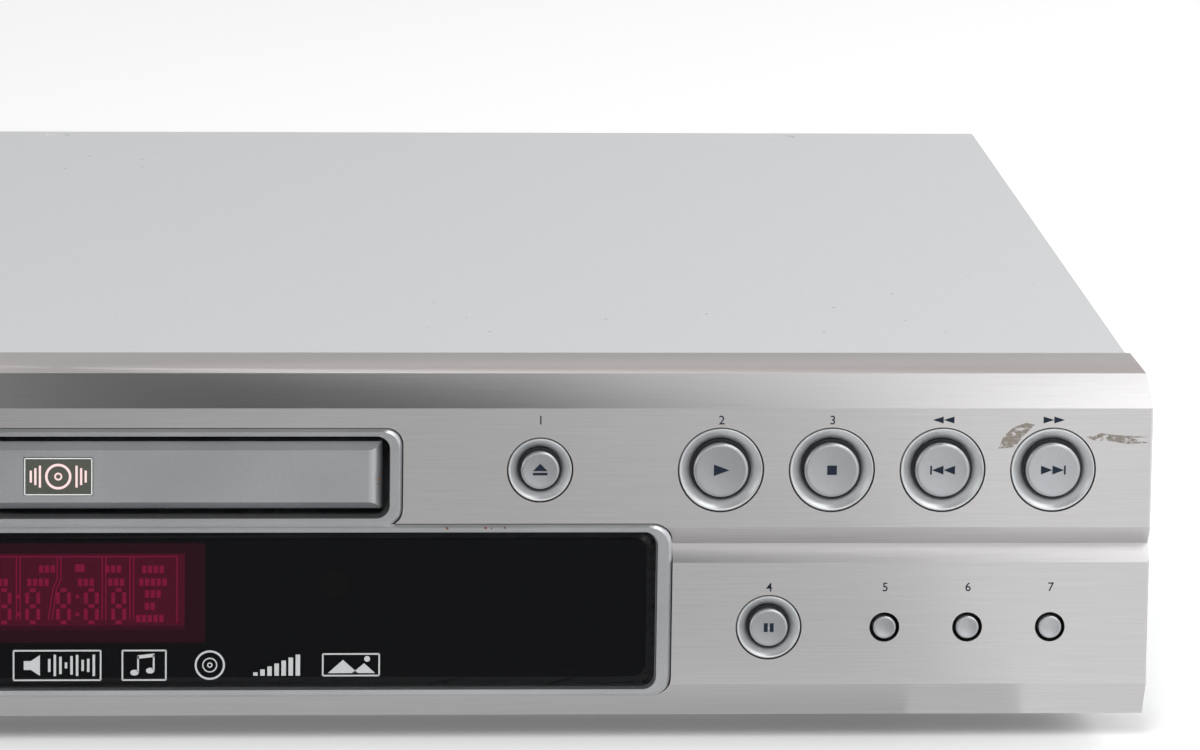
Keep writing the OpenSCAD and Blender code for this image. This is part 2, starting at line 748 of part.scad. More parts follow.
// A button cap with its hollowed face, rounded edge, skirt, stem and retaining collar
module key_button(place, r, travel) {
    back = frame_d - travel - 0.2;
    edge = 0.25 + 0.06 * r;
    collar = frame_back + 0.1;
    stem = stem_of(r);
    color("#a9aaa6")
    turned_at(place[0], place[1]) polygon(concat(
        [for (s = [0:0.25:1]) [(r - edge) * s, cap_hollow * (1 - s * s) - key_proud]],
        [for (a = [18:18:90]) [r - edge + edge * sin(a), edge * (1 - cos(a)) - key_proud]],
        [[r, back], [r - cap_skirt, back], [r - cap_skirt, 1.4], [stem, 1.4]],
        [[stem, collar], [stem + 0.7, collar], [stem + 0.7, collar + 0.8]],
        [[stem, collar + 0.8], [stem, plunger_d - travel - 0.05], [0, plunger_d - travel - 0.05]]));
}

module power_button() { key_button(large_keys[0], large_r, power_travel); }
module play_button() { key_button(large_keys[1], large_r, key_travel); }
module stop_button() { key_button(large_keys[2], large_r, key_travel); }
module previous_button() { key_button(large_keys[3], large_r, key_travel); }
module next_button() { key_button(large_keys[4], large_r, key_travel); }
module open_close_button() { key_button(medium_keys[0], medium_r, key_travel); }
module pause_button() { key_button(medium_keys[1], medium_r, key_travel); }
module picture_button() { key_button(small_keys[0], small_r, key_travel); }
module direct_button() { key_button(small_keys[1], small_r, key_travel); }
module dimmer_button() { key_button(small_keys[2], small_r, key_travel); }

module key_switches() {
    color("#d9d6cc")
    for (k = all_keys) {
        block([k[0] - 3, front_y + front_board_d - switch_h, k[1] - 3],
            [k[0] + 3, front_y + front_board_d, k[1] + 3]);
        rod_along_y(k[0], front_y + plunger_d, front_y + front_board_d - switch_h, k[1], stem_of(k[2]));
    }
}

module front_board() {
    y0 = front_y + front_board_d;
    y1 = y0 + board_t;
    low = chin_z + skin_t + shelf_t + 0.3;
    high = floor_top - 1;
    edge = half_w - 9;
    color("#a8884a")
    difference() {
        union() {
            front_plate(y0, y1) polygon([
                [-edge, low], [edge, low], [edge, shelf_z - 3], [main_x0, shelf_z - 3],
                [main_x0, high], [68 - edge, high], [68 - edge, shelf_z - 3], [-edge, shelf_z - 3]]);
            // remote receiver, driver chip and ribbon connector
            block([sensor_x - 4, y0 - 5, sensor_z - 4], [sensor_x + 4, y0, sensor_z + 4]);
            block([-30, y1, display_z - 7], [0, y1 + 2.4, display_z + 3]);
            block([main_x0 + 16, y1, board_top + 6.4], [main_x0 + 38, y1 + 5, board_top + 12.4]);
        }
        for (p = boss_places) rod_along_y(p[0], y0 - 1, y1 + 1, p[1], screw_r + 0.1);
    }
}

module display_tube() {
    y1 = front_y + front_board_d;
    color("#3b3346") {
        difference() {
            block([-tube_half - 4, y1 - 1.4, display_z - 13], [tube_half + 4, y1, display_z + 12]);
            for (i = [-11:11]) translate([i * tube_half * 0.094, y1, display_z - 13])
                block([-0.5, -2, -1], [0.5, 1, 0.6]);
        }
        block([-tube_half, y1 - 6.6, display_z - 11], [tube_half, y1 - 1.4, display_z + 11.2]);
        rod_along_x(tube_half, tube_half + 3.5, y1 - 4, display_z, 1.6);
    }
}

// Disc loader

module loader_frame() {
    w0 = wall_in;
    w1 = wall_out;
    boss_y = 6;
    color("#303236")
    difference() {
        union() {
            both_sides() {
                side_plate(w0, w1) polygon([
                    [loader_y0, floor_top], [loader_y0 + 6, floor_top],
                    [loader_y0 + 6, floor_top - floor_t], [loader_step_y, floor_top - floor_t],
                    [loader_step_y, loader_low], [loader_y1, loader_low],
                    [loader_y1, loader_top], [loader_y0, loader_top]]);
                // guide rails under and over the tray's side flange
                for (z = [rail_low - slide_gap - rail_t, rail_low + rail_t + slide_gap])
                    block([tray_half + 0.5, loader_y0, z], [w0, loader_y1 - 3, z + rail_t]);
                for (y = ear_ys) block([w1, y - 6, loader_low], [w1 + ear_w, y + 6, loader_low + ear_t]);
                // pivot bosses for the lift frame
                block([ring_half + 1, pivot_y - boss_y, pivot_z - 5], [w0, pivot_y + boss_y, pivot_z + 5]);
                block([ring_half + 8, disc_y - 3, pivot_z - 2], [w0, pivot_y - boss_y, pivot_z]);
                // outer stiffening ribs
                for (i = [0:4]) block([w1, disc_y + 4 + i * 18, loader_low + 8],
                    [w1 + 1.5, disc_y + 5.6 + i * 18, loader_top - 6]);
            }
            difference() {
                block([-w1, loader_y1 - 3, loader_low], [w1, loader_y1, loader_top]);
                block([-40, loader_y1 - 4, loader_low + 7], [40, loader_y1 + 1, loader_top - 8]);
            }
            block([-w0, loader_y0 + 6, floor_top - floor_t], [w0, slider_y0 - 2.2, floor_top]);
            // cross beam that the cam slider runs against
            block([-w0, slider_y0 - 4.2, slider_low], [w0, slider_y0 - 0.4, floor_top - floor_t]);
            block([-w0, slider_y0 - 4.2, slider_low - slide_gap - slider_rail_t],
                [w0, slider_y0 + slider_t + 0.4, slider_low - slide_gap]);
            for (p = [[drive_x, drive_y], [pulley_x, drive_y]]) {
                rod_up(p[0], p[1], floor_top, pinion_top - 0.2, axle_r);
                rod_up(p[0], p[1], floor_top, wheel_low, axle_r + 1.6);
            }
        }
        both_sides() {
            rod_along_x(ring_half, ring_half + 8.2, pivot_y, pivot_z, pivot_r + bore_gap);
            for (y = ear_ys) rod_up(w1 + ear_w / 2, y, loader_low - 1, loader_low + 3, screw_r + 0.1);
            for (y = [disc_y + 14, disc_y - 14])
                rod_up(w0 + wall_t / 2, y, loader_top - 6, loader_top + 1, 0.9);
        }
        rod_up(motor_x, drive_y, floor_top - floor_t - 1, floor_top + 1, 3);
    }
}

module loading_motor() {
    top = floor_top - floor_t;
    color("#8d9194")
    difference() {
        union() {
            rod_up(motor_x, drive_y, top - motor_h, top, motor_r);
            rod_up(motor_x, drive_y, top - motor_h - 1.5, top - motor_h, 3.5);
            for (s = [-1, 1]) block([motor_x + s * 4 - 0.8, drive_y - 0.4, top - motor_h - 3],
                [motor_x + s * 4 + 0.8, drive_y + 0.4, top - motor_h]);
        }
        rod_up(motor_x, drive_y, top - 6, top + 1, shaft_r + bore_gap);
    }
}

module motor_pulley() {
    g = groove_w / 2;
    color("#e8e4d8")
    translate([motor_x, drive_y, 0]) rotate_extrude() polygon([
        [0, floor_top - floor_t - 5], [shaft_r, floor_top - floor_t - 5],
        [shaft_r, pulley_low - 0.6], [motor_rim, pulley_low - 0.6],
        [motor_rim, belt_z - g - 0.3], [motor_groove, belt_z - g], [motor_groove, belt_z + g],
        [motor_rim, belt_z + g + 0.3], [motor_rim, pinion_top - 0.2], [0, pinion_top - 0.2]]);
}

module loading_belt() {
    // follows both grooves and their two outer tangents
    r1 = pulley_groove + belt_gap;
    r2 = motor_groove + belt_gap;
    span = pulley_x - motor_x;
    lean = asin((r1 - r2) / span);
    color("#1b1b1b")
    level_plate(belt_z - belt_t / 2, belt_z + belt_t / 2) difference() {
        belt_shape(r1 + belt_t, r2 + belt_t, lean);
        belt_shape(r1, r2, lean);
    }
}

module belt_shape(r1, r2, lean) {
    big = [pulley_x, drive_y];
    little = [motor_x, drive_y];
    translate(big) circle(r1);
    translate(little) circle(r2);
    up = [-sin(lean), cos(lean)];
    down = [-sin(lean), -cos(lean)];
    polygon([big + r1 * up, little + r2 * up, little + r2 * down, big + r1 * down]);
}

module pulley_gear() {
    g = groove_w / 2;
    turn = 180 / pulley_pinion_z;
    color("#e8e4d8")
    difference() {
        union() {
            gear(train_m, pulley_pinion_z, pulley_x, drive_y, wheel_low, wheel_low + wheel_t + 0.2, turn);
            translate([pulley_x, drive_y, 0]) rotate_extrude() polygon([
                [0, wheel_low + wheel_t + 0.2], [4.5, wheel_low + wheel_t + 0.2],
                [4.5, pulley_low], [pulley_rim, pulley_low], [pulley_rim, belt_z - g - 0.3],
                [pulley_groove, belt_z - g], [pulley_groove, belt_z + g],
                [pulley_rim, belt_z + g + 0.3], [pulley_rim, pinion_top], [0, pinion_top]]);
        }
        rod_up(pulley_x, drive_y, wheel_low - 1, pinion_top + 1, axle_r + bore_gap);
        for (a = [30:60:330]) translate([pulley_x, drive_y, 0]) rotate(a)
            rod_up(7.6, 0, pulley_low - 1, pinion_top + 1, 1.9);
    }
}

module drive_gear() {
    color("#e8e4d8")
    difference() {
        union() {
            gear(train_m, wheel_z, drive_x, drive_y, wheel_low, wheel_low + wheel_t);
            gear(rack_m, rack_pinion_z, drive_x, drive_y, wheel_low + wheel_t, pinion_top);
        }
        rod_up(drive_x, drive_y, wheel_low - 1, pinion_top + 1, axle_r + bore_gap);
        for (a = [0:60:300]) translate([drive_x, drive_y, 0]) rotate(a)
            rod_up(11.8, 0, wheel_low - 1, wheel_low + wheel_t + 0.5, 2.1);
    }
}

module cam_slider() {
    y0 = slider_y0;
    y1 = slider_y0 + slider_t;
    color("#e4ddc9")
    difference() {
        union() {
            block([slider_x0, y0, slider_low], [slider_x0 + slider_w, y1, slider_top]);
            block([slider_x0 + slider_w - 12, y0, slider_top - 2.5],
                [slider_x0 + slider_w, y1 + 2, slider_top]);
        }
        // the sloping slot that the lift frame's front pin rides in
        front_plate(y0 - 1, y1 + 3) {
            a = [0, pivot_z];
            b = [-slot_run, pivot_z - slot_fall];
            n = side_normal(a, b) * slot_r;
            translate(a) circle(slot_r);
            translate(b) circle(slot_r);
            polygon([a + n, b + n, b - n, a - n]);
        }
    }
}

module lift_frame() {
    color("#3a3d42")
    difference() {
        union() {
            level_plate(ring_low, ring_top) difference() {
                rounded_rect([-ring_half, ring_y0], [ring_half, ring_y1], 4);
                rounded_rect([-ring_half + ring_bar, ring_y0 + ring_bar],
                    [ring_half - ring_bar, ring_y1 - ring_bar], 3);
            }
            both_sides() {
                for (p = post_xy) {
                    block([p[0] - 5, p[1] - 5, ring_top - 3], [ring_half - 1, p[1] + 5, ring_top]);
                    rod_up(p[0], p[1], ring_top, plate_top + 3, post_r);
                }
                rod_along_x(ring_half - 1, ring_half + 7, pivot_y, pivot_z, pivot_r);
            }
            rod_along_y(0, slider_y0 + 0.2, ring_y0 + 1, pivot_z, front_pin_r);
        }
        both_sides() for (p = post_xy) rod_up(p[0], p[1], ring_top + 1, plate_top + 4, 0.7);
    }
}

module damper_bushes() {
    color("#26282b")
    both_sides() for (p = post_xy) translate([p[0], p[1], 0]) rotate_extrude() polygon([
        [post_r + damper_gap, ring_top], [3.6, ring_top], [3.9, ring_top + 0.6],
        [3.6, plate_low], [2.6, plate_low], [2.6, plate_top], [3.6, plate_top],
        [3.9, plate_top + 1], [3.4, plate_top + 1.6], [post_r + damper_gap, plate_top + 1.6]]);
}

module traverse_plate() {
    post_t = 4;
    color("#c3c6c8")
    difference() {
        union() {
            level_plate(plate_low, plate_top)
                rounded_rect([-44, ring_y0 + ring_bar], [44, pivot_y - 8], 4);
            both_sides() for (y = [rod_y0, rod_y1 - post_t])
                block([rod_x - 2.5, y, plate_top], [rod_x + 2.5, y + post_t, rod_z0 + 2.5]);
            rod_up(feed_x, feed_y, plate_top, rod_z0 + 2, 1);
        }
        both_sides() {
            for (p = post_xy) rod_up(p[0], p[1], plate_low - 1, plate_top + 1, 2.6 + damper_gap);
            rod_along_y(rod_x, rod_y0 - 1, rod_y1 + 1, rod_z0, rod_r + bore_gap);
        }
        level_plate(plate_low - 1, plate_top + 1) {
            rounded_rect([-17, disc_y + 20], [17, disc_y + 74], 3);
            both_sides() rounded_rect([30, disc_y + 66], [40, disc_y + 74], 2);
        }
        rod_up(0, disc_y, plate_low - 1, plate_top + 1, 3.4);
        rod_up(feed_x, feed_y + feed_dist, plate_low - 1, plate_top + 1, 2);
    }
}

module spindle_motor() {
    bore = shaft_r + bore_gap;
    color("#7c8084")
    translate([0, disc_y, 0]) difference() {
        union() {
            rotate_extrude() polygon([
                [bore, plate_top - plate_t], [3.2, plate_top - plate_t], [3.2, plate_top],
                [13, plate_top], [13, plate_top + 1.4], [3.2, plate_top + 1.4],
                [3.2, plate_top + 7], [bore, plate_top + 7]]);
            // nine wound poles
            for (a = [0:40:320]) rotate(a) {
                block([2.8, -0.9, plate_top + 2.4], [8.6, 0.9, plate_top + 5.4]);
                block([8.6, -2.2, plate_top + 2.4], [9.8, 2.2, plate_top + 5.4]);
            }
        }
        rod_up(0, 0, plate_low - 1, plate_top + 9, bore);
    }
}

module turntable() {
    b = plate_top;
    color("#2f3135")
    translate([0, disc_y, 0]) difference() {
        rotate_extrude() polygon([
            [0, b + 0.4], [shaft_r, b + 0.4], [shaft_r, b + 7.9], [11.2, b + 7.9],
            [11.2, b + 2.9], [12, b + 2.9], [12, b + 8.9], [5, b + 8.9], [5, b + 10.9],
            [15, b + 10.9], [15, b + 12.9], [7.4, b + 12.9], [7.4, b + 14.1],
            [6, b + 15.7], [0, b + 15.7]]);
        // shallow groove that holds the rubber ring of the platter
        translate([0, 0, b + 12.5]) rotate_extrude() translate([12, 0]) square([1.4, 1]);
    }
}

module guide_rods() {
    color("#d5d8da")
    both_sides() rod_along_y(rod_x, rod_y0, rod_y1, rod_z0, rod_r);
}

module pickup_sled() {
    pocket = 6;
    color("#4a4d52")
    difference() {
        union() {
            level_plate(sled_low, sled_mid)
                rounded_rect([-sled_half, sled_y0], [sled_half, sled_y1], 3);
            level_plate(sled_mid - 0.5, sled_top)
                rounded_rect([-17, sled_y0], [17, sled_y1 - 6], 3);
            // rack on the right side
            translate([feed_rack_x, 0, 0]) level_plate(sled_low + 0.4, sled_low + 4.4)
                polygon(rack_points(feed_m, feed_y - feed_travel - 3, feed_y + 3,
                    feed_y - 17.5 * PI * feed_m, 3));
            block([sled_half - 1, feed_y - feed_travel - 3, sled_low + 0.4],
                [feed_rack_x - 1.2 * feed_m, feed_y + 3, sled_low + 4.4]);
        }
        both_sides() rod_along_y(rod_x, sled_y0 - 1, sled_y1 + 1, rod_z0, rod_r + bore_gap);
        // the far side rides its rod in an open fork
        block([-sled_half - 1, sled_y0 - 1, rod_z0 - rod_r - bore_gap],
            [-rod_x, sled_y1 + 1, rod_z0 + rod_r + bore_gap]);
        block([-pocket, lens_y - pocket, sled_top - 1.8], [pocket, lens_y + pocket, sled_top + 1]);
        block([-4, lens_y - 4, sled_low - 1], [4, lens_y + 4, sled_top]);
        both_sides() block([10, sled_y0 + 4, sled_low - 1], [16, sled_y1 - 10, sled_low + 3]);
    }
}

module pickup_lens() {
    low = sled_top - 1.2;
    color("#5a6fa0") {
        translate([0, lens_y, 0]) difference() {
            block([-5, -5, low], [5, 5, low + 2.2]);
            both_sides() block([3.6, -3, low - 1], [4.2, 3, low + 3]);
        }
        translate([0, lens_y, 0]) rotate_extrude() polygon([
            [0, low + 2], [3, low + 2], [3, low + 2.5],
            for (a = [0:15:90]) [2.6 * cos(a), low + 2.5 + 0.9 * sin(a)]]);
    }
}

module feed_gear() {
    top = rod_z0 + 2;
    color("#e8e4d8")
    difference() {
        union() {
            gear(motor_m, feed_wheel_z, feed_x, feed_y, feed_low, feed_low + feed_wheel_t);
            gear(feed_m, feed_pinion_z, feed_x, feed_y, feed_low + feed_wheel_t, top);
        }
        rod_up(feed_x, feed_y, feed_low - 1, top + 1, 1 + bore_gap);
        for (a = [0:60:300]) translate([feed_x, feed_y, 0]) rotate(a)
            rod_up(7.6, 0, feed_low - 1, feed_low + feed_wheel_t + 0.5, 1.7);
    }
}

module feed_motor() {
    y = feed_y + feed_dist;
    color("#8d9194")
    difference() {
        rod_up(feed_x, y, plate_low - feed_motor_h, plate_low, feed_motor_r);
        rod_up(feed_x, y, plate_low - 5, plate_low + 1, 0.75 + bore_gap);
    }
}

module feed_pinion() {
    y = feed_y + feed_dist;
    turn = 180 / motor_pinion_z;
    color("#d8c483") {
        gear(motor_m, motor_pinion_z, feed_x, y, feed_low, feed_low + feed_wheel_t + 0.2, turn);
        rod_up(feed_x, y, plate_low - 4, feed_low, 0.75);
    }
}

module tray() {
    y0 = tray_y0;
    rack_top = tray_low;
    rack_low = tray_low - 3.4;
    color("#2c2d31")
    difference() {
        union() {
            level_plate(tray_low, tray_top) rounded_rect([-tray_half, y0], [tray_half, tray_y1], 2);
            level_plate(rail_low, rail_low + rail_t)
                rounded_rect([-flange_half, y0 + 5], [flange_half, tray_y1], 1);
            // rack along the right side underneath
            translate([rack_x, 0, 0]) level_plate(rack_low, rack_top) mirror([1, 0])
                polygon(rack_points(rack_m, drive_y - 8, drive_y + tray_travel + 4,
                    drive_y - 1.5 * PI * rack_m, 4.5));
            // front wall that the door snaps on
            block([-tray_half, y0, tray_low - 1.8], [tray_half, y0 + 2, door_z + door_h / 2 - 1]);
        }
        rod_up(0, disc_y, seat_z, tray_top + 1, recess_r);
        rod_up(0, disc_y, small_seat_z, tray_top + 1, small_disc_r + disc_play);
        rod_up(0, disc_y, tray_low - 1, tray_top, 19);
        level_plate(tray_low - 1, tray_top + 1)
            rounded_rect([-slot_half, disc_y + 11], [slot_half, tray_y1 + 20], 4);
        // finger hollows at the edge of the recess
        both_sides() rod_up(recess_r * 0.66, disc_y - recess_r * 0.72, seat_z - 0.6, tray_top + 1, 9);
        // pockets behind the recess
        both_sides() level_plate(tray_low - 1, tray_top - 1.6)
            rounded_rect([slot_half + 4, disc_y + recess_r + 4], [rack_x - 6, tray_y1 - 4], 2);
    }
}

module tray_door() {
    c = 1.5;
    lo = door_z - door_h / 2;
    hi = door_z + door_h / 2;
    color("#9fa1a2")
    difference() {
        intersection() {
            side_plate(-door_half, door_half) polygon(at_face([
                [door_face, lo + c], [door_face, hi - c], [door_face + c, hi],
                [door_back, hi], [door_back, lo], [door_face + c, lo]]));
            level_plate(lo - 1, hi + 1) rounded_rect([-door_half, front_y + door_face],
                [door_half, front_y + door_back + 5], 3);
        }
        // hollow back
        block([-door_half + 3, front_y + 2.6, lo + 2.2],
            [door_half - 3, front_y + door_back + 1, hi - 2.2]);
        block([-6.9, front_y, door_z - 3.9], [6.9, front_y + 1.1, door_z + 3.9]);
    }
}

module tray_badge() {
    color("#3d4046")
    front_plate(front_y + 0.25, front_y + 1.1)
        rounded_rect([-6.8, door_z - 3.8], [6.8, door_z + 3.8], 0.6);
}

module clamp_bridge() {
    t = 1.2;
    color("#c3c6c8")
    difference() {
        union() {
            level_plate(loader_top, loader_top + t)
                rounded_rect([-wall_out, disc_y - 20], [wall_out, disc_y + 20], 3);
            // turned-up stiffening edges
            for (y = [disc_y - 20, disc_y + 20 - t])
                block([-wall_out + 6, y, loader_top], [wall_out - 6, y + t, loader_top + 4]);
        }
        rod_up(0, disc_y, loader_top - 1, loader_top + 5, 11.5);
        both_sides() for (y = [disc_y + 14, disc_y - 14])
            rod_up(wall_in + wall_t / 2, y, loader_top - 1, loader_top + 5, 0.95);
        both_sides() rod_up(36, disc_y, loader_top - 1, loader_top + 5, 9);
    }
}

module clamp_puck() {
    low = tray_z + 0.8;
    flange = loader_top + 1.3;
    color("#ded9cc")
    translate([0, disc_y, 0]) rotate_extrude() polygon([
        [0, low + 3.6], [8.2, low + 3.6], [8.2, low], [14.5, low], [14.5, low + 3.2],
        [10.5, low + 3.2], [10.5, flange], [13.5, flange], [13.5, flange + 1.9],
        [12.5, flange + 2.3], [0, flange + 2.3]]);
}

// Boards

module main_board() {
    color("#2f6a46")
    difference() {
        union() {
            block([main_x0, main_y0, board_z], [board_x1, main_y1, board_top]);
            translate([board_x1, main_y0, board_top]) {
                block([-78, 42, 0], [-50, 70, 2.2]);                       // decoder chip
                block([-74, 46, 2.2], [-54, 66, 3]);
                for (i = [0:5]) rod_up(-34 + (i % 2) * 12, 16 + floor(i / 2) * 12, 0, 8, 3.2);
            }
            translate([board_x1, main_y1, board_top]) block([-40, -56, 0], [-20, -36, 1.6]);
            translate([main_x0, main_y1, board_top]) {
                block([16, -60, 0], [28, -38, 1.4]);                       // memory
                block([4, -36, 0], [10, -18, 6]);                          // ribbon connector
            }
            translate([main_x0, main_y0, board_top]) {
                block([16, 1, 0], [38, 7, 5]);                             // ribbon connector
                block([16, 40, 0], [28, 46, 3.4]);                         // crystal
            }
        }
        for (p = board_stands) rod_up(p[0], p[1], board_z - 1, board_top + 1, screw_r + 0.1);
    }
}

module power_board() {
    color("#9c7b45")
    difference() {
        union() {
            block([-board_x1, power_y0, board_z], [power_x1, power_y1, board_top]);
            rod_up(capacitor_x, capacitor_y, board_top, board_top + 30, capacitor_r);
            translate([sink_x, sink_y0, board_top]) {
                block([0, 0, 0], [3, sink_len, sink_h]);
                for (i = [0:5]) translate([3, 2 + i * (sink_len - 10) / 5, 0])
                    block([0, 0, 0], [8, 1.6, sink_h]);
            }
            translate([power_x1, power_y1, board_top])
                for (i = [0:3]) rod_up(-12, -49.8 + i * 11, 0, 15, 4.2);
            translate([-board_x1, power_y1, board_top]) {
                block([6, -47.8, 0], [26, -31.8, 14]);                             // mains filter
                rod_along_x(36, 56, -35.8, 2.8, 3);                                // fuse
            }
        }
        for (p = board_stands) rod_up(p[0], p[1], board_z - 1, board_top + 1, screw_r + 0.1);
    }
}

module power_transformer() {
    wound = core_half - core_leg;
    color("#c9a646")
    translate([core_x, core_y, board_top]) {
        difference() {
            block([-core_half, -18, 3], [core_half, 18, 31]);
            block([-wound, -19, 10], [wound, 19, 24]);
        }
        block([2 - core_half, -15, 0], [core_half - 2, 15, 3]);
        block([-wound, -13, 10], [wound, 13, 24]);
    }
}

module jack_board() {
    color("#2f6a46")
    difference() {
        union() {
            block([jack_x0, jack_y0, board_z], [board_x1, jack_back, board_top]);
            translate([video_x, jack_y0, board_top]) block([14, 4, 0], [34, 14, 3]);
            for (i = [0:4]) translate([audio_x - 4 + i * 11, jack_y0 + 16, board_top])
                cylinder(h = 7, r = 2.8);
        }
        for (p = board_stands) rod_up(p[0], p[1], board_z - 1, board_top + 1, screw_r + 0.1);
    }
}

// Rear sockets

// The insulating core of a phono socket with the bore for the plug's pin
module phono_core(p) {
    rod_along_y(p[0], jack_back + core_gap, rear_y + socket_out - 0.6, p[1],
        phono_r - phono_lip - core_gap);
}

module phono_hole(p) {
    rod_along_y(p[0], rear_y + socket_out - 10, rear_y + socket_out + 1, p[1], phono_bore);
}

module audio_jacks() {
    color("#1f2023")
    difference() {
        union() {
            block([audio_x - 9, mould_y0, board_top],
                [audio_x + 2 * audio_pitch + 9, jack_back, jack_row + 32]);
            for (i = [0:5]) phono_core(phono_places[i]);
        }
        for (i = [0:5]) phono_hole(phono_places[i]);
    }
}

module video_jacks() {
    color("#1f2023")
    difference() {
        union() {
            block([video_x - 9, mould_y0, board_top], [video_x + 9, jack_back, jack_top + 9]);
            block([round_x - 9, mould_y0, board_top], [round_x + 9, jack_back, jack_row + 29]);
            rod_along_y(round_x, jack_back, rear_y + 2.4, round_z, 6.5);
            for (i = [6:9]) phono_core(phono_places[i]);
        }
        for (i = [6:9]) phono_hole(phono_places[i]);
        // round socket with a keyed cavity and four contacts
        difference() {
            rod_along_y(round_x, rear_y - 4.6, rear_y + 3, round_z, 4.75);
            rod_along_y(round_x, rear_y - 5, rear_y + 1.6, round_z, 3.6);
        }
        for (x = [-1, 1], z = [-1, 1])
            rod_along_y(round_x + x * 1.7, rear_y - 4, rear_y + 3, round_z + z * 1.3, 0.5);
    }
}

module jack_shells() {
    color("#d8d2bd")
    for (p = phono_places) translate([p[0], 0, p[1]]) rotate([-90, 0, 0])
        rotate_extrude() polygon([
            [phono_r - phono_lip, jack_back], [phono_r + phono_lip, jack_back],
            [phono_r + phono_lip, rear_y + 0.8], [phono_r, rear_y + 0.8],
            [phono_r, rear_y + socket_out - 0.3], [phono_r - 0.3, rear_y + socket_out],
            [phono_r - phono_lip, rear_y + socket_out]]);
}

module hdmi_jack() {
    translate([hdmi_x, rear_y, board_top]) {
        color("#c9cbcd")
        difference() {
            block([-7.6, -12, 0], [7.6, 0.6, 6.2]);
            front_plate(-9, 1) polygon([
                [-7, 5.6], [-7, 2.4], [-5.4, 0.7], [5.4, 0.7], [7, 2.4], [7, 5.6]]);
        }
        color("#1f2023") block([-4.6, -9, 2.6], [4.6, -0.6, 3.8]);
    }
}

// Places in the optical socket, from the middle of the coaxial socket below it
hinge_z = jack_row + 21.5;

module optical_jack() {
    color("#1f2023")
    difference() {
        union() {
            translate([optical_x, 0, jack_row]) {
                block([-9, mould_y0, board_top - jack_row], [9, jack_back, 9]);
                block([-6, mould_y0, 9], [6, jack_back, 25]);
                block([-6, jack_back, 11], [6, rear_y + 2.4, 25]);
            }
            phono_core(phono_places[10]);
        }
        phono_hole(phono_places[10]);
        translate([optical_x, rear_y, jack_row]) block([-3.8, -13, 14.2], [3.8, 3, 22.4]);
        rod_along_x(optical_x - 4.6, optical_x + 4.6, rear_y + 1.4, hinge_z, 0.55);
    }
}

module optical_shutter() {
    color("#2a2c30") {
        translate([optical_x, rear_y, hinge_z]) block([-3.6, 1, -7], [3.6, 1.8, 0.5]);
        rod_along_x(optical_x - 4.4, optical_x + 4.4, rear_y + 1.4, hinge_z, 0.5);
    }
}

inlet_low = board_top;
inlet_top = board_top + 14;
module ac_inlet() {
    x = inlet_x;
    z = (inlet_low + inlet_top) / 2;
    color("#19191b")
    difference() {
        block([x - 12, rear_y - 22, inlet_low], [x + 12, rear_y + 1.2, inlet_top]);
        difference() {
            front_plate(rear_y - 13, rear_y + 2) {
                for (s = [-1, 1]) translate([x + s * 4.3, z]) circle(4.1);
                translate([x - 4.3, z - 2.6]) square([8.6, 5.2]);
            }
            for (s = [-1, 1]) rod_along_y(x + s * 4.3, rear_y - 14, rear_y - 3, z, 1.2);
        }
    }
}

module ribbon_cables() {
    t = 0.3;
    y0 = front_y + front_board_d + board_t + 5;
    y1 = main_y0 + 4;
    z0 = board_top + 9.4;
    z1 = board_top + 5;
    color("#e6e6e2")
    side_plate(main_x0 + 17, main_x0 + 37) {
        translate([y0, z0]) square([8, t]);
        translate([y0 + 8, z0 - 4]) square([t, 4 + t]);
        polygon([[y0 + 8, z0 - 4], [y0 + 8 + t, z0 - 4], [y1, z1 + 3], [y1 - t, z1 + 3]]);
        translate([y1 - t, z1]) square([t, 3]);
    }
}

// Screws

module cover_screws() {
    color("#3a3b3d") {
        both_sides() for (p = side_screws) translate([cover_x, p[0], p[1]])
            rotate([0, 90, 0]) pan_screw(3);
        for (x = rear_screws) translate([x, rear_y + cover_t, cover_under - 4])
            rotate([-90, 0, 0]) pan_screw(4);
    }
}

module chassis_screws() {
    color("#b8babc") {
        for (p = loader_stands) translate([p[0], p[1], loader_low + ear_t]) pan_screw(9);
        for (p = board_stands) translate([p[0], p[1], board_top]) pan_screw(6);
        for (p = foot_places) translate([p[0], p[1], pad_h + 2.4]) rotate([180, 0, 0])
            pan_screw(foot_h - pad_h);
    }
}

front_fascia();
escutcheon();
display_window();
front_frame();
top_cover();
bottom_chassis();
rear_panel();
feet();
foot_pads();
button_cups();
power_button();
open_close_button();
play_button();
stop_button();
previous_button();
next_button();
pause_button();
picture_button();
direct_button();
dimmer_button();
loader_frame();
tray();
tray_door();
tray_badge();
clamp_bridge();
clamp_puck();
drive_gear();
pulley_gear();
motor_pulley();
loading_belt();
loading_motor();
cam_slider();
lift_frame();
traverse_plate();
damper_bushes();
spindle_motor();
turntable();
guide_rods();
pickup_sled();
pickup_lens();
feed_gear();
feed_motor();
feed_pinion();
front_board();
display_tube();
key_switches();
main_board();
power_board();
power_transformer();
jack_board();
audio_jacks();
video_jacks();
jack_shells();
hdmi_jack();
optical_jack();
optical_shutter();
ac_inlet();
ribbon_cables();
cover_screws();
chassis_screws();
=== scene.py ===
import json
from math import cos, pi, radians, sin
from random import Random

import bmesh
import bpy
from mathutils import Matrix, Vector


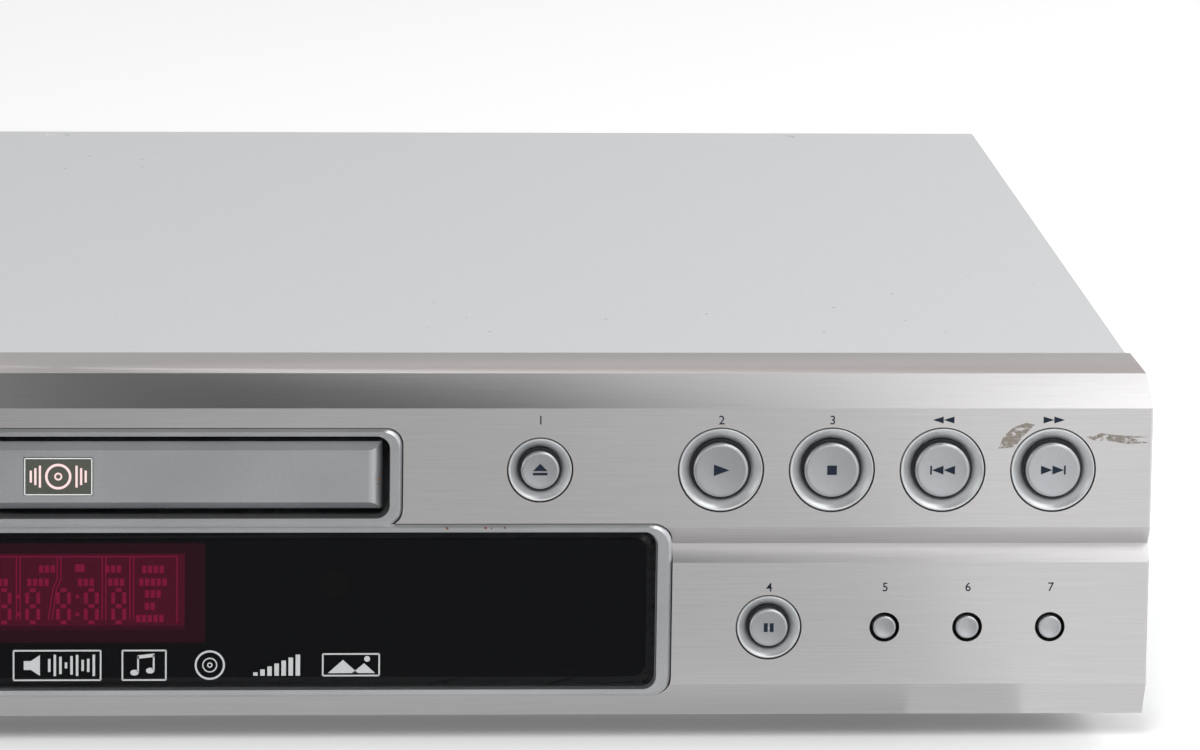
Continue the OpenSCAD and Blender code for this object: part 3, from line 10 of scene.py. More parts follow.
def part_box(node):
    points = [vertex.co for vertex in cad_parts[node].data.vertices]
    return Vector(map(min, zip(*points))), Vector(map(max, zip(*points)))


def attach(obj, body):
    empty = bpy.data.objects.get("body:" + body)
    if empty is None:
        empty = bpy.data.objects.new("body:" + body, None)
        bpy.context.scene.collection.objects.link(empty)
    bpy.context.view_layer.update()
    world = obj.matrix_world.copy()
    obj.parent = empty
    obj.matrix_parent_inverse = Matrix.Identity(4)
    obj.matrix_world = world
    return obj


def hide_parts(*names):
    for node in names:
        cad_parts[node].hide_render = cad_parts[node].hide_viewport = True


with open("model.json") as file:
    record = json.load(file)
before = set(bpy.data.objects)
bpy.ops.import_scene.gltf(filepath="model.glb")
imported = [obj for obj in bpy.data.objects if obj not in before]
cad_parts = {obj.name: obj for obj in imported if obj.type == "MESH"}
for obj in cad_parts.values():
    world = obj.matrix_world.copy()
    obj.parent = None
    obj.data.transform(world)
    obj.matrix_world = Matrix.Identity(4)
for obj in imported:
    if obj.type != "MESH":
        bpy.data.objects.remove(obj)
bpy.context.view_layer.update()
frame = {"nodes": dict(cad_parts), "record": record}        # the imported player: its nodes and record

nodes = frame["nodes"]
mm = 0.001
print("frame loaded:", len(nodes), "nodes")


# Camera, light and floor

cameraSettings = {
    "place": (-2.2, -1669.7, 378.1),     # mm, in front and a little above
    "yaw": 4.112,                        # degrees, turned to the right
    "pitch": 11.228,                     # degrees, looking down
    "roll": 0.818,
    "focal": 7842.0,                     # pixels of a frame 1200 wide
    "frameWidth": 1200.0,
    "sensor": 36.0,                      # mm
    "clip": (0.05, 50),                  # metres
}


def makeCamera():
    s = cameraSettings
    yaw, pitch, roll = radians(s["yaw"]), radians(s["pitch"]), radians(s["roll"])
    ahead = Vector((sin(yaw) * cos(pitch), cos(yaw) * cos(pitch), -sin(pitch)))
    right = Vector((cos(yaw), -sin(yaw), 0))
    up = right.cross(ahead)
    right, up = cos(roll) * right + sin(roll) * up, -sin(roll) * right + cos(roll) * up
    data = bpy.data.cameras.new("camera")
    data.sensor_width = s["sensor"]
    data.lens = s["focal"] / s["frameWidth"] * s["sensor"]
    data.clip_start, data.clip_end = s["clip"]
    camera = bpy.data.objects.new("camera", data)
    turn = Matrix((right, up, -ahead)).transposed().to_4x4()
    camera.matrix_world = Matrix.Translation(Vector(s["place"]) * mm) @ turn
    bpy.context.scene.collection.objects.link(camera)
    bpy.context.scene.camera = camera


def toLinear(hexColour):
    # sRGB hex to the linear colour that a shader takes
    values = [int(hexColour[i:i + 2], 16) / 255 for i in (1, 3, 5)]
    linear = [v / 12.92 if v <= 0.04045 else ((v + 0.055) / 1.055) ** 2.4 for v in values]
    return (*linear, 1.0)


def addNode(tree, kind, settings=None, **links):
    # one shader node: settings are attributes or input values, links are input names, or i0, i1 by number
    node = tree.nodes.new(kind)
    for key, value in (settings or {}).items():
        if isinstance(key, str) and hasattr(node, key):
            setattr(node, key, value)
        else:
            node.inputs[key].default_value = value
    for key, source in links.items():
        name = key.replace("_", " ")
        byNumber = name[:1] == "i" and name[1:].isdigit()
        tree.links.new(source, node.inputs[int(name[1:]) if byNumber else name])
    return node


lightSettings = {
    "world": 0.45,                             # strength of the even light from all round
    "seenWorld": 1.0,                          # its strength where it is looked at: plain white
    "key": (1.6, 0.4, 1.2, 1.2, 17.5),         # x, y, z, size in metres, watts
    "fill": (-0.3, -2.2, 1.35, 0.8, 40.0),
    "target": (0.05, 0.0, 0.03),
}


def seenRays(tree):
    # 1 for what the camera sees, by itself or in metal and glass
    path = addNode(tree, "ShaderNodeLightPath")
    seen = addNode(tree, "ShaderNodeMath", {"operation": "MAXIMUM"},
                   i0=path.outputs["Is Camera Ray"], i1=path.outputs["Is Glossy Ray"])
    return addNode(tree, "ShaderNodeMath", {"operation": "MAXIMUM"},
                   i0=seen.outputs[0], i1=path.outputs["Is Transmission Ray"]).outputs[0]


def makeLight():
    s = lightSettings
    world = bpy.data.worlds.new("studio")
    world.use_nodes = True
    tree = world.node_tree
    background = tree.nodes["Background"]
    strength = addNode(tree, "ShaderNodeMapRange", {3: s["world"], 4: s["seenWorld"]}, Value=seenRays(tree))
    tree.links.new(strength.outputs[0], background.inputs["Strength"])
    background.inputs["Color"].default_value = (1, 1, 1, 1)
    bpy.context.scene.world = world
    target = Vector(s["target"])
    for name in ("key", "fill"):
        x, y, z, size, watts = s[name]
        data = bpy.data.lights.new(name, "AREA")
        data.shape = "DISK"
        data.size = size
        data.energy = watts
        lamp = bpy.data.objects.new(name, data)
        lamp.visible_glossy = False            # metal sees the studio cards below instead
        place = Vector((x, y, z))
        turn = (target - place).to_track_quat("-Z", "Y").to_matrix().to_4x4()
        lamp.matrix_world = Matrix.Translation(place) @ turn
        bpy.context.scene.collection.objects.link(lamp)


def newMaterial(name):
    material = bpy.data.materials.new(name)
    material.use_nodes = True
    tree = material.node_tree
    return material, tree, tree.nodes["Principled BSDF"]


def objectPlace(tree, scale=(1, 1, 1)):
    # Object coordinates, so that a pattern stays where it is on its piece
    place = addNode(tree, "ShaderNodeTexCoord").outputs["Object"]
    return addNode(tree, "ShaderNodeMapping", {"Scale": scale}, Vector=place).outputs["Vector"]


floorSettings = {
    "tone": "#fbfbfb", "roughness": 0.9, "specular": 0.1,
    "lift": 0.13,                        # glow that brings it to plain white where it is looked at
    "size": 6,                           # metres
}


def makeFloor():
    s = floorSettings
    material, tree, shader = newMaterial("paleFloor")
    shader.inputs["Base Color"].default_value = toLinear(s["tone"])
    shader.inputs["Roughness"].default_value = s["roughness"]
    shader.inputs["Specular IOR Level"].default_value = s["specular"]
    shader.inputs["Emission Color"].default_value = (1, 1, 1, 1)
    lift = addNode(tree, "ShaderNodeMath", {"operation": "MULTIPLY", 1: s["lift"]}, i0=seenRays(tree))
    tree.links.new(lift.outputs[0], shader.inputs["Emission Strength"])
    mesh = bpy.data.meshes.new("floor")
    b = bmesh.new()
    bmesh.ops.create_grid(b, x_segments=1, y_segments=1, size=s["size"])
    b.to_mesh(mesh)
    b.free()
    floor = bpy.data.objects.new("floor", mesh)
    mesh.materials.append(material)
    bpy.context.scene.collection.objects.link(floor)


# Cards that show as reflections only and light nothing: mostly dark to the left, pale to the right.
# Each has two corners in metres, a tone, and a strength where 1 is white
studioCards = {
    "floorLeft": ((-0.9, -1.5, 0.002), (-0.05, -0.2, 0.002), "#000000", 0.0),
    "floorFar": ((-0.05, -1.5, 0.002), (0.185, -0.5, 0.002), "#000000", 0.0),
    "floorNear": ((-0.05, -0.5, 0.002), (0.185, -0.2, 0.002), "#ffffff", 0.38),
    "floorRight": ((0.185, -1.5, 0.002), (0.7, -0.2, 0.002), "#ffffff", 0.74),
    # floorEdge and floorUnder are dimmer where the floor lies in the player's own shadow: painted shade that the
    # metal sees in reflection
    "floorEdge": ((-0.9, -0.2, 0.002), (0.17, -0.157, 0.002), "#ffffff", 0.62),
    "floorUnder": ((-0.9, -0.157, 0.002), (0.17, -0.12, 0.002), "#ffffff", 0.5),
    "floorMiddle": ((0.17, -0.2, 0.002), (0.193, -0.12, 0.002), "#ffffff", 0.64),
    "floorCorner": ((0.193, -0.2, 0.002), (0.7, -0.12, 0.002), "#ffffff", 0.84),
    "wallLeft": ((-1.6, -2.3, 0.003), (-0.3, -2.3, 1.2), "#000000", 0.0),
    "wallMiddle": ((-0.3, -2.3, 0.003), (0.1, -2.3, 1.2), "#ffffff", 0.73),
    "wallRight": ((0.1, -2.3, 0.003), (1.6, -2.3, 1.2), "#ffffff", 1.27),
    "softboxLeft": ((-0.6, -2.0, 1.2), (0.22, -2.0, 1.9), "#ffffff", 2.3),
    "softboxRight": ((0.22, -2.0, 1.2), (1.3, -2.0, 1.9), "#ffffff", 2.8),
    "ceilingFront": ((-1.5, -1.6, 1.2), (0.42, -0.4, 1.2), "#000000", 0.0),
    "ceilingLeft": ((-1.5, -0.4, 1.2), (0.0, 2.0, 1.2), "#ffffff", 0.36),
    "ceilingMiddle": ((0.0, -0.4, 1.2), (0.34, 2.0, 1.2), "#ffffff", 0.0),
    "ceilingRight": ((0.34, -0.4, 1.2), (1.6, 2.0, 1.2), "#ffffff", 2.1),
    "ceilingRightFront": ((0.42, -0.9, 1.2), (1.6, -0.4, 1.2), "#ffffff", 3.2),
    "ceilingCorner": ((0.42, -1.6, 1.2), (1.6, -0.9, 1.2), "#ffffff", 0.8),
    "back": ((-2.0, 2.2, 0.0), (2.2, 2.2, 0.7), "#c5b4ae", 0.58),
}


def makeCards():
    for name, (low, high, tone, strength) in studioCards.items():
        material, tree = newMaterial(name + "Card")[:2]
        glow = addNode(tree, "ShaderNodeEmission", {"Color": toLinear(tone), "Strength": strength})
        tree.links.new(glow.outputs[0], tree.nodes["Material Output"].inputs["Surface"])
        if low[2] == high[2]:
            fourth = (low[0], high[1], low[2])            # a card that lies flat
        else:
            fourth = (low[0], low[1], high[2])            # one that stands across the room
        b = bmesh.new()
        places = (low, (high[0], low[1], low[2]), high, fourth)
        corners = [bmesh.ops.create_vert(b, co=place)["vert"][0] for place in places]
        bmesh.ops.contextual_create(b, geom=corners)
        mesh = bpy.data.meshes.new(name)
        b.to_mesh(mesh)
        b.free()
        mesh.materials.append(material)
        card = bpy.data.objects.new(name + "_card", mesh)
        bpy.context.scene.collection.objects.link(card)
        for ray in ("camera", "diffuse", "transmission", "shadow", "volume_scatter"):
            setattr(card, "visible_" + ray, False)


bpy.context.scene.view_settings.view_transform = "Standard"
makeCamera()
makeLight()
makeFloor()
makeCards()
print("camera, light and floor made")


# Materials. The numbered inputs are 1, 2 from and 3, 4 to in a Map Range, and 6, 7 the two colours in a Mix

def plug(tree, shader, **sources):
    # joins outputs to the shader's inputs by name
    for key, source in sources.items():
        tree.links.new(source, shader.inputs[key.replace("_", " ")])


# Anodised aluminium, brushed along the front: fine streaks that run left to right and spread its glints.
# They are drawn coarser than real brushing, so that they show
def brushedAluminium(name, tone, dark, roughness=0.3):
    material, tree, shader = newMaterial(name)
    streakLength, streakWidth, streakDepth = 16 * mm, 0.16 * mm, 0.003 * mm
    place = objectPlace(tree, (1 / streakLength, 1 / streakWidth, 1 / streakWidth))
    streaks = addNode(tree, "ShaderNodeTexNoise", {"Scale": 1.0, "Detail": 3.0, "Roughness": 0.6},
                      Vector=place)
    wide = addNode(tree, "ShaderNodeTexNoise", {"Scale": 9.0, "Detail": 2.0},      # some 110 mm across
                   Vector=objectPlace(tree))
    level = addNode(tree, "ShaderNodeMapRange", {1: 0.3, 2: 0.7}, Value=streaks.outputs["Fac"])
    colour = addNode(tree, "ShaderNodeMix", {"data_type": "RGBA", 6: toLinear(dark), 7: toLinear(tone)},
                     Factor=level.outputs[0])
    rough = addNode(tree, "ShaderNodeMapRange", {3: roughness - 0.05, 4: roughness + 0.06},
                    Value=wide.outputs["Fac"])
    bump = addNode(tree, "ShaderNodeBump", {"Strength": 0.5, "Distance": streakDepth},
                   Height=streaks.outputs["Fac"])
    along = addNode(tree, "ShaderNodeTangent", {"direction_type": "RADIAL", "axis": "Z"})
    plug(tree, shader, Base_Color=colour.outputs[2], Roughness=rough.outputs[0], Normal=bump.outputs[0],
         Tangent=along.outputs[0])
    shader.inputs["Metallic"].default_value = 1.0
    shader.inputs["Anisotropic"].default_value = 0.7
    shader.inputs["Anisotropic Rotation"].default_value = 0.25     # glints spread across the brushing
    return material


# Powder coated steel: a fine orange-peel grain, and a few dark specks where dust has settled
def paintedSteel(name, tone, speck, roughness=0.5):
    material, tree, shader = newMaterial(name)
    grain, grainDepth, speckPitch = 0.5 * mm, 0.012 * mm, 9 * mm
    fine = addNode(tree, "ShaderNodeTexNoise", {"Scale": 1 / grain, "Detail": 2.0}, Vector=objectPlace(tree))
    dots = addNode(tree, "ShaderNodeTexVoronoi", {"Scale": 1 / speckPitch}, Vector=objectPlace(tree))
    near = addNode(tree, "ShaderNodeMapRange", {1: 0.035, 2: 0.05, 3: 1.0, 4: 0.0},
                   Value=dots.outputs["Distance"])
    patch = addNode(tree, "ShaderNodeTexNoise", {"Scale": 6.0, "Detail": 3.0},     # some 170 mm across
                    Vector=objectPlace(tree))
    few = addNode(tree, "ShaderNodeMapRange", {1: 0.55, 2: 0.6}, Value=patch.outputs["Fac"])
    some = addNode(tree, "ShaderNodeMath", {"operation": "MULTIPLY"},
                   i0=near.outputs[0], i1=few.outputs[0])
    level = addNode(tree, "ShaderNodeMapRange", {1: 0.25, 2: 0.75, 3: 0.0, 4: 0.12},
                    Value=fine.outputs["Fac"])
    grained = addNode(tree, "ShaderNodeMix", {"data_type": "RGBA", 6: toLinear(tone), 7: toLinear(speck)},
                      Factor=level.outputs[0])
    colour = addNode(tree, "ShaderNodeMix", {"data_type": "RGBA", 7: toLinear(speck)},
                     Factor=some.outputs[0], i6=grained.outputs[2])
    bump = addNode(tree, "ShaderNodeBump", {"Strength": 0.4, "Distance": grainDepth},
                   Height=fine.outputs["Fac"])
    plug(tree, shader, Base_Color=colour.outputs[2], Normal=bump.outputs[0])
    shader.inputs["Roughness"].default_value = roughness
    return material


# Moulded plastic: a slight sheen and a fine spark-eroded grain, or a silver look where it is sprayed
def mouldedPlastic(name, tone, shade, roughness=0.45, grain=0.35, depth=0.01, metallic=0.0):
    material, tree, shader = newMaterial(name)
    patchSize = 25 * mm
    fine = addNode(tree, "ShaderNodeTexNoise", {"Scale": 1 / (grain * mm), "Detail": 3.0},
                   Vector=objectPlace(tree))
    broad = addNode(tree, "ShaderNodeTexNoise", {"Scale": 1 / patchSize, "Detail": 2.0},
                    Vector=objectPlace(tree))
    both = addNode(tree, "ShaderNodeMath", {"operation": "MULTIPLY"},
                   i0=fine.outputs["Fac"], i1=broad.outputs["Fac"])
    level = addNode(tree, "ShaderNodeMapRange", {1: 0.15, 2: 0.4}, Value=both.outputs[0])
    colour = addNode(tree, "ShaderNodeMix", {"data_type": "RGBA", 6: toLinear(shade), 7: toLinear(tone)},
                     Factor=level.outputs[0])
    rough = addNode(tree, "ShaderNodeMapRange", {3: roughness - 0.06, 4: roughness + 0.06},
                    Value=broad.outputs["Fac"])
    bump = addNode(tree, "ShaderNodeBump", {"Strength": 0.5, "Distance": depth * mm},
                   Height=fine.outputs["Fac"])
    plug(tree, shader, Base_Color=colour.outputs[2], Roughness=rough.outputs[0], Normal=bump.outputs[0])
    shader.inputs["Metallic"].default_value = metallic
    return material


# Bare or plated metal: soft clouds where it has been handled and is a little dull
def platedMetal(name, tone, shade, roughness=0.28):
    material, tree, shader = newMaterial(name)
    broad = addNode(tree, "ShaderNodeTexNoise", {"Scale": 30.0, "Detail": 5.0},    # some 33 mm across
                    Vector=objectPlace(tree))
    level = addNode(tree, "ShaderNodeMapRange", {1: 0.35, 2: 0.65}, Value=broad.outputs["Fac"])
    colour = addNode(tree, "ShaderNodeMix", {"data_type": "RGBA", 6: toLinear(shade), 7: toLinear(tone)},
                     Factor=level.outputs[0])
    rough = addNode(tree, "ShaderNodeMapRange", {3: roughness - 0.05, 4: roughness + 0.1},
                    Value=broad.outputs["Fac"])
    plug(tree, shader, Base_Color=colour.outputs[2], Roughness=rough.outputs[0])
    shader.inputs["Metallic"].default_value = 1.0
    return material


# Polished smoked acrylic: dark, glossy and a little see-through
def smokedAcrylic(name):
    material, tree, shader = newMaterial(name)
    hazeSize = 40 * mm
    haze = addNode(tree, "ShaderNodeTexNoise", {"Scale": 1 / hazeSize, "Detail": 4.0},
                   Vector=objectPlace(tree))
    rough = addNode(tree, "ShaderNodeMapRange", {3: 0.03, 4: 0.09}, Value=haze.outputs["Fac"])
    plug(tree, shader, Roughness=rough.outputs[0])
    shader.inputs["Base Color"].default_value = toLinear("#050609")
    shader.inputs["IOR"].default_value = 1.49
    shader.inputs["Alpha"].default_value = 0.7
    shader.inputs["Specular IOR Level"].default_value = 0.25
    return material


materials = {
    "brushed_aluminium": brushedAluminium("brushedAluminium", "#dcdbdb", "#d2d0d0"),
    "silver_paint": mouldedPlastic("silverPaintedAbs", "#cdcfd1", "#c3c5c7", 0.32, grain=0.3, depth=0.004,
                                   metallic=0.88),
    # a lighter, less metallic copy of the silver paint: painted light that brightens the dished rings
    "cup_paint_painted_light": mouldedPlastic("dishedSilverPaint", "#dfe1e2", "#d4d6d8", 0.36, grain=0.3, depth=0.004,
                                metallic=0.75),
    # a darker copy of the silver paint: painted shade on the button caps
    "cap_paint_painted_shade": mouldedPlastic("satinSilverCap", "#c5c7ca", "#bbbdc0", 0.3, grain=0.3, depth=0.004,
                                metallic=0.88),
    "smoked_acrylic": smokedAcrylic("smokedAcrylic"),
    "black_abs": mouldedPlastic("blackAbs", "#1d1e20", "#151617", 0.5),
    "cover_paint": paintedSteel("powderCoatedSteel", "#cfd1d3", "#8e8c88", 0.45),
    "zinc_steel": platedMetal("zincPlatedSteel", "#c3c6c6", "#a9adae", 0.35),
    "rubber": mouldedPlastic("blackRubber", "#222222", "#171717", 0.8, grain=0.5, depth=0.03),
    "white_pom": mouldedPlastic("naturalAcetal", "#e9e5d8", "#ddd8c9", 0.4),
    "grey_abs": mouldedPlastic("darkGreyAbs", "#36383c", "#2b2d30", 0.5),
    "motor_steel": platedMetal("nickelPlatedCan", "#a9adae", "#8f9496", 0.3),
    "polished_steel": platedMetal("polishedSteel", "#dcdfe0", "#c9cccd", 0.12),
    "brass": platedMetal("turnedBrass", "#cfb46a", "#b79c55", 0.25),
    "circuit_board": mouldedPlastic("greenSolderMask", "#2c6a46", "#215537", 0.3, grain=1.2),
    "paper_board": mouldedPlastic("phenolicBoard", "#a2834a", "#8c6f3c", 0.5, grain=0.8),
    "tube_glass": mouldedPlastic("displayTube", "#2b1a2b", "#1f1220", 0.2, grain=0.5, depth=0.002),
    "switch_plastic": mouldedPlastic("switchPlastic", "#dad7cc", "#c9c5b8", 0.45),
    "transformer_core": mouldedPlastic("tapedCore", "#c9a646", "#b4923a", 0.5),
    "nickel_shell": platedMetal("nickelPlate", "#dcd6c4", "#c4bda9", 0.2),
    "black_plastic": mouldedPlastic("blackMoulding", "#1b1c1f", "#121315", 0.45),
    "lens_glass": mouldedPlastic("coatedLens", "#3f5a93", "#2f4675", 0.08, grain=0.5, depth=0.001),
    "ribbon_film": mouldedPlastic("cableFilm", "#e6e6e2", "#d8d8d3", 0.4),
    "screw_steel": platedMetal("platedScrew", "#6a6a6c", "#4e4e50", 0.35),
}
for row in frame["record"]["subparts"]:
    piece = nodes[row["node"]]
    slot = row["material_slot"]
    if slot == "silver_paint" and row["node"].endswith("_button"):
        slot = "cap_paint_painted_shade"               # the caps take a darker copy of the silver paint: painted shade
    piece.data.materials.clear()
    piece.data.materials.append(materials[slot])
print("materials made:", len(materials))


# Shaping helpers: outlines are lists of corners in mm, across and up

def finishPiece(name, b, material, body, smooth=False):
    # the bmesh becomes an object that sits at the origin and rides on its body
    mesh = bpy.data.meshes.new(name)
    bmesh.ops.recalc_face_normals(b, faces=b.faces)
    b.to_mesh(mesh)
    b.free()
    mesh.materials.append(material)
    if smooth:
        mesh.shade_smooth()
    piece = bpy.data.objects.new(name, mesh)
    bpy.context.scene.collection.objects.link(piece)
    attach(piece, body)
    return piece


def addPrint(b, outline, y, thickness):
    # a flat shape that stands out from y towards the front
    corners = [bmesh.ops.create_vert(b, co=(x * mm, y, z * mm))["vert"][0] for x, z in outline]
    face = bmesh.ops.contextual_create(b, geom=corners)["faces"]
    made = bmesh.ops.extrude_face_region(b, geom=face)["geom"]
    moved = [v for v in made if isinstance(v, bmesh.types.BMVert)]
    bmesh.ops.translate(b, verts=moved, vec=(0, -thickness * mm, 0))


def printPiece(name, outlines, y, thickness, material, body):
    b = bmesh.new()
    for outline in outlines:
        addPrint(b, outline, y, thickness)
    return finishPiece(name, b, material, body)


def rectangle(x0, z0, x1, z1):
    return [(x0, z0), (x1, z0), (x1, z1), (x0, z1)]


def block(x, z, halfWidth, halfHeight):
    # a rectangle by its middle
    return rectangle(x - halfWidth, z - halfHeight, x + halfWidth, z + halfHeight)


def arrow(x, z, width, height, way=1):
    # a triangle whose point is to the right, or to the left when way is -1
    tail = x - way * width / 2
    return [(tail, z - height / 2), (x + way * width / 2, z), (tail, z + height / 2)]


def oval(x, z, across, up, steps=12):
    turns = [2 * pi * k / steps for k in range(steps)]
    return [(x + across * cos(a), z + up * sin(a)) for a in turns]


def ringOutlines(x, z, outer, inner, steps=24):
    # a ring as short four-cornered pieces
    pieces = []
    for k in range(steps):
        a, c = 2 * pi * k / steps, 2 * pi * (k + 1) / steps
        corners = ((outer, a), (outer, c), (inner, c), (inner, a))
        pieces.append([(x + r * cos(t), z + r * sin(t)) for r, t in corners])
    return pieces


def stroke(x0, z0, x1, z1, width):
    # a straight line of some width
    along = Vector((x1 - x0, z1 - z0)).normalized() * width / 2
    side = Vector((-along.y, along.x))
    return [(x0 - side.x, z0 - side.y), (x1 - side.x, z1 - side.y),
            (x1 + side.x, z1 + side.y), (x0 + side.x, z0 + side.y)]


def frameOutlines(x0, z0, x1, z1, width):
    # the four sides of a frame: bottom, top, left and right
    lines = ((x0, z0, x1, z0), (x0, z1, x1, z1), (x0, z0, x0, z1), (x1, z0, x1, z1))
    return [stroke(*line, width) for line in lines]


# Screen ink or painted signs: flat, with faint wear; a glow, where given, is painted light that brightens them
def plainInk(name, tone, roughness=0.65, glow=None, strength=0.0, worn="#26303f"):
    material, tree, shader = newMaterial(name)
    patches = addNode(tree, "ShaderNodeTexNoise", {"Scale": 900.0, "Detail": 3.0},     # some 1.1 mm across
                      Vector=objectPlace(tree))
    level = addNode(tree, "ShaderNodeMapRange", {1: 0.3, 2: 0.7, 3: 0.0, 4: 0.25},
                    Value=patches.outputs["Fac"])
    second = tone if glow else worn
    colour = addNode(tree, "ShaderNodeMix", {"data_type": "RGBA", 6: toLinear(tone), 7: toLinear(second)},
                     Factor=level.outputs[0])
    plug(tree, shader, Base_Color=colour.outputs[2])
    shader.inputs["Roughness"].default_value = roughness
    shader.inputs["Specular IOR Level"].default_value = 0.25
    if glow:
        shader.inputs["Emission Color"].default_value = toLinear(glow)
        shader.inputs["Emission Strength"].default_value = strength
    return material


# Dished rings round the buttons, and black linings in the gaps round the caps

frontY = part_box("front_fascia")[0].y

cups = {
    "large": [(-193.0, 57.45), (131.0, 57.45), (153.07, 57.45), (175.14, 57.45), (197.21, 57.45)],   # mm
    "medium": [(95.1, 57.45), (141.05, 25.45)],
    "largeOuter": 8.3, "largeInner": 6.0, "largeCap": 5.45,            # radii
    "mediumOuter": 6.3, "mediumInner": 4.3, "mediumCap": 3.8,
    "gap": 0.12,                         # between a cap and its lining
    "lip": 0.15, "lipDepth": 0.12,
    "depth": 2.05,                       # of the dish at its bore
    "curl": 0.25,                        # share of the depth that comes late, near the bore
    "dishSteps": (0, 0.15, 0.3, 0.45, 0.6, 0.75, 0.9, 1),
    "throat": 4.5, "liningDepth": 1.4,
}


def turnedRing(b, x, z, profile, steps=72):
    # closed profile of radius and depth, spun about an axis into the panel
    centre = Vector((x * mm, frontY, z * mm))
    corners = [bmesh.ops.create_vert(b, co=centre + Vector((r * mm, d * mm, 0)))["vert"][0]
               for r, d in profile]
    sides = []
    for near, far in zip(corners, corners[1:] + corners[:1]):
        sides += bmesh.ops.contextual_create(b, geom=[near, far])["edges"]
    bmesh.ops.spin(b, geom=corners + sides, cent=centre, axis=(0, 1, 0), angle=2 * pi, steps=steps,
                   use_merge=True)


def makeCups():
    s = cups
    for size in ("large", "medium"):
        outer, inner, cap = s[size + "Outer"], s[size + "Inner"], s[size + "Cap"] + s["gap"]
        rim = outer - s["lip"]
        bowl = [(rim - (rim - inner) * t, s["depth"] * ((1 - s["curl"]) * t + s["curl"] * t ** 3))
                for t in s["dishSteps"]]
        cup = [(outer, s["throat"]), (outer, s["lipDepth"])] + bowl + [(inner, s["throat"])]
        lining = [(inner, s["liningDepth"]), (inner, s["throat"]),
                  (cap, s["throat"]), (cap, s["liningDepth"])]
        for k, (x, z) in enumerate(s[size], 1):
            b = bmesh.new()
            turnedRing(b, x, z, cup)
            ring = finishPiece(f"{size}_cup_{k}", b, materials["cup_paint_painted_light"], "player", True)
            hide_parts("button_cups")
            b = bmesh.new()
            turnedRing(b, x, z, lining)
            finishPiece(f"{size}_throat_{k}", b, materials["black_plastic"], "player")


makeCups()
print("button rings made")


# Printed symbols on the caps

ink = plainInk("navyScreenInk", "#0f1a2b")

keySigns = {
    "lift": 0.3,                         # mm from the panel to the hollow faces of the caps
    "thickness": 0.02,
    "openX": 95.1, "playX": 131.0, "pitch": 22.07, "upperZ": 57.45,    # mm, middles of the buttons
    "pauseX": 141.05, "smallX": 164.2, "smallPitch": 16.58, "lowerZ": 25.45, "powerX": -193.0,
    "playShift": 0.1, "playSize": (3.1, 2.35),
    "stopHalf": (0.97, 0.95),
    "seekSize": (2.3, 1.8), "seekNear": 1.0, "seekFar": 1.3,           # the two arrows of a seek sign
    "seekBar": (2.15, 2.5, 0.9),                                       # from, to, half height
    "ejectHalf": 1.45, "ejectFoot": 0.15, "ejectTop": 1.35, "ejectBar": (1.0, 0.5),
    "pauseBar": (0.2, 0.98, 0.9),                                      # from, to, half height
    "powerRing": (1.75, 1.4), "powerSteps": 32, "powerOpen": (6, 10),  # radii, and the steps left out
    "powerBar": (0.17, 0.4, 2.0),                                      # half width, from, to
}


def powerSign(x, z):
    s = keySigns
    ring = ringOutlines(x, z, *s["powerRing"], s["powerSteps"])
    halfWidth, low, high = s["powerBar"]
    first, last = s["powerOpen"]
    return [rectangle(x - halfWidth, z + low, x + halfWidth, z + high)] + ring[last:] + ring[:first]


def seekSign(x, z, way):
    # two arrows that point at a bar: way is 1 for the right and -1 for the left
    s = keySigns
    near, far, half = s["seekBar"]
    left, right = sorted((x + way * near, x + way * far))
    places = sorted((x - way * s["seekFar"], x + way * s["seekNear"]))
    return [rectangle(left, z - half, right, z + half)] + [arrow(p, z, *s["seekSize"], way) for p in places]


def ejectSign(x, z):
    s = keySigns
    half, foot, (low, high) = s["ejectHalf"], z - s["ejectFoot"], s["ejectBar"]
    return [[(x - half, foot), (x + half, foot), (x, z + s["ejectTop"])],
            rectangle(x - half, z - low, x + half, z - high)]


def pauseSign(x, z):
    near, far, half = keySigns["pauseBar"]
    return [rectangle(x - far, z - half, x - near, z + half),
            rectangle(x + near, z - half, x + far, z + half)]


def makeKeySigns():
    s = keySigns
    stopX, backX, nextX = (s["playX"] + k * s["pitch"] for k in (1, 2, 3))
    z = s["upperZ"]
    signs = {
        "play": [arrow(s["playX"] + s["playShift"], z, *s["playSize"])],
        "stop": [block(stopX, z, *s["stopHalf"])],
        "previous": seekSign(backX, z, -1),
        "next": seekSign(nextX, z, 1),
        "open_close": ejectSign(s["openX"], z),
        "pause": pauseSign(s["pauseX"], s["lowerZ"]),
        "power": powerSign(s["powerX"], z),
    }
    for key, outlines in signs.items():
        printPiece(key + "_sign", outlines, frontY - s["lift"] * mm, s["thickness"], ink, key + "_button")


# Numbers and seek marks on the panel over the buttons

panelMarks = {
    "lift": 0.02, "thickness": 0.02,
    "rowZ": 67.56, "lowRowZ": 33.65, "height": 1.75,
    "seekWidth": 2.15, "seekHeight": 1.4,
    "figureShare": 0.69,                 # the built-in font's figures are 0.69 of its size
    "weight": 0.015,                     # mm added to the strokes
    "curveSteps": 3,
}


def makeNumber(text, x, z):
    # a plain number, cut from the built-in font and laid on the panel
    s = panelMarks
    name = "number_" + text
    curve = bpy.data.curves.new(name, "FONT")
    curve.body = text
    curve.size = s["height"] * mm / s["figureShare"]
    curve.align_x = "CENTER"
    curve.extrude = s["thickness"] * mm / 2
    curve.offset = s["weight"] * mm
    curve.resolution_u = s["curveSteps"]
    source = bpy.data.objects.new(name + "Curve", curve)
    mesh = bpy.data.meshes.new_from_object(source)
    bpy.data.objects.remove(source)
    b = bmesh.new()
    b.from_mesh(mesh)
    turn = Matrix.Rotation(pi / 2, 4, "X")
    place = Vector((x * mm, frontY - s["lift"] * mm, (z - s["height"] / 2) * mm))
    bmesh.ops.transform(b, matrix=Matrix.Translation(place) @ turn, verts=b.verts)
    finishPiece(name, b, ink, "player")


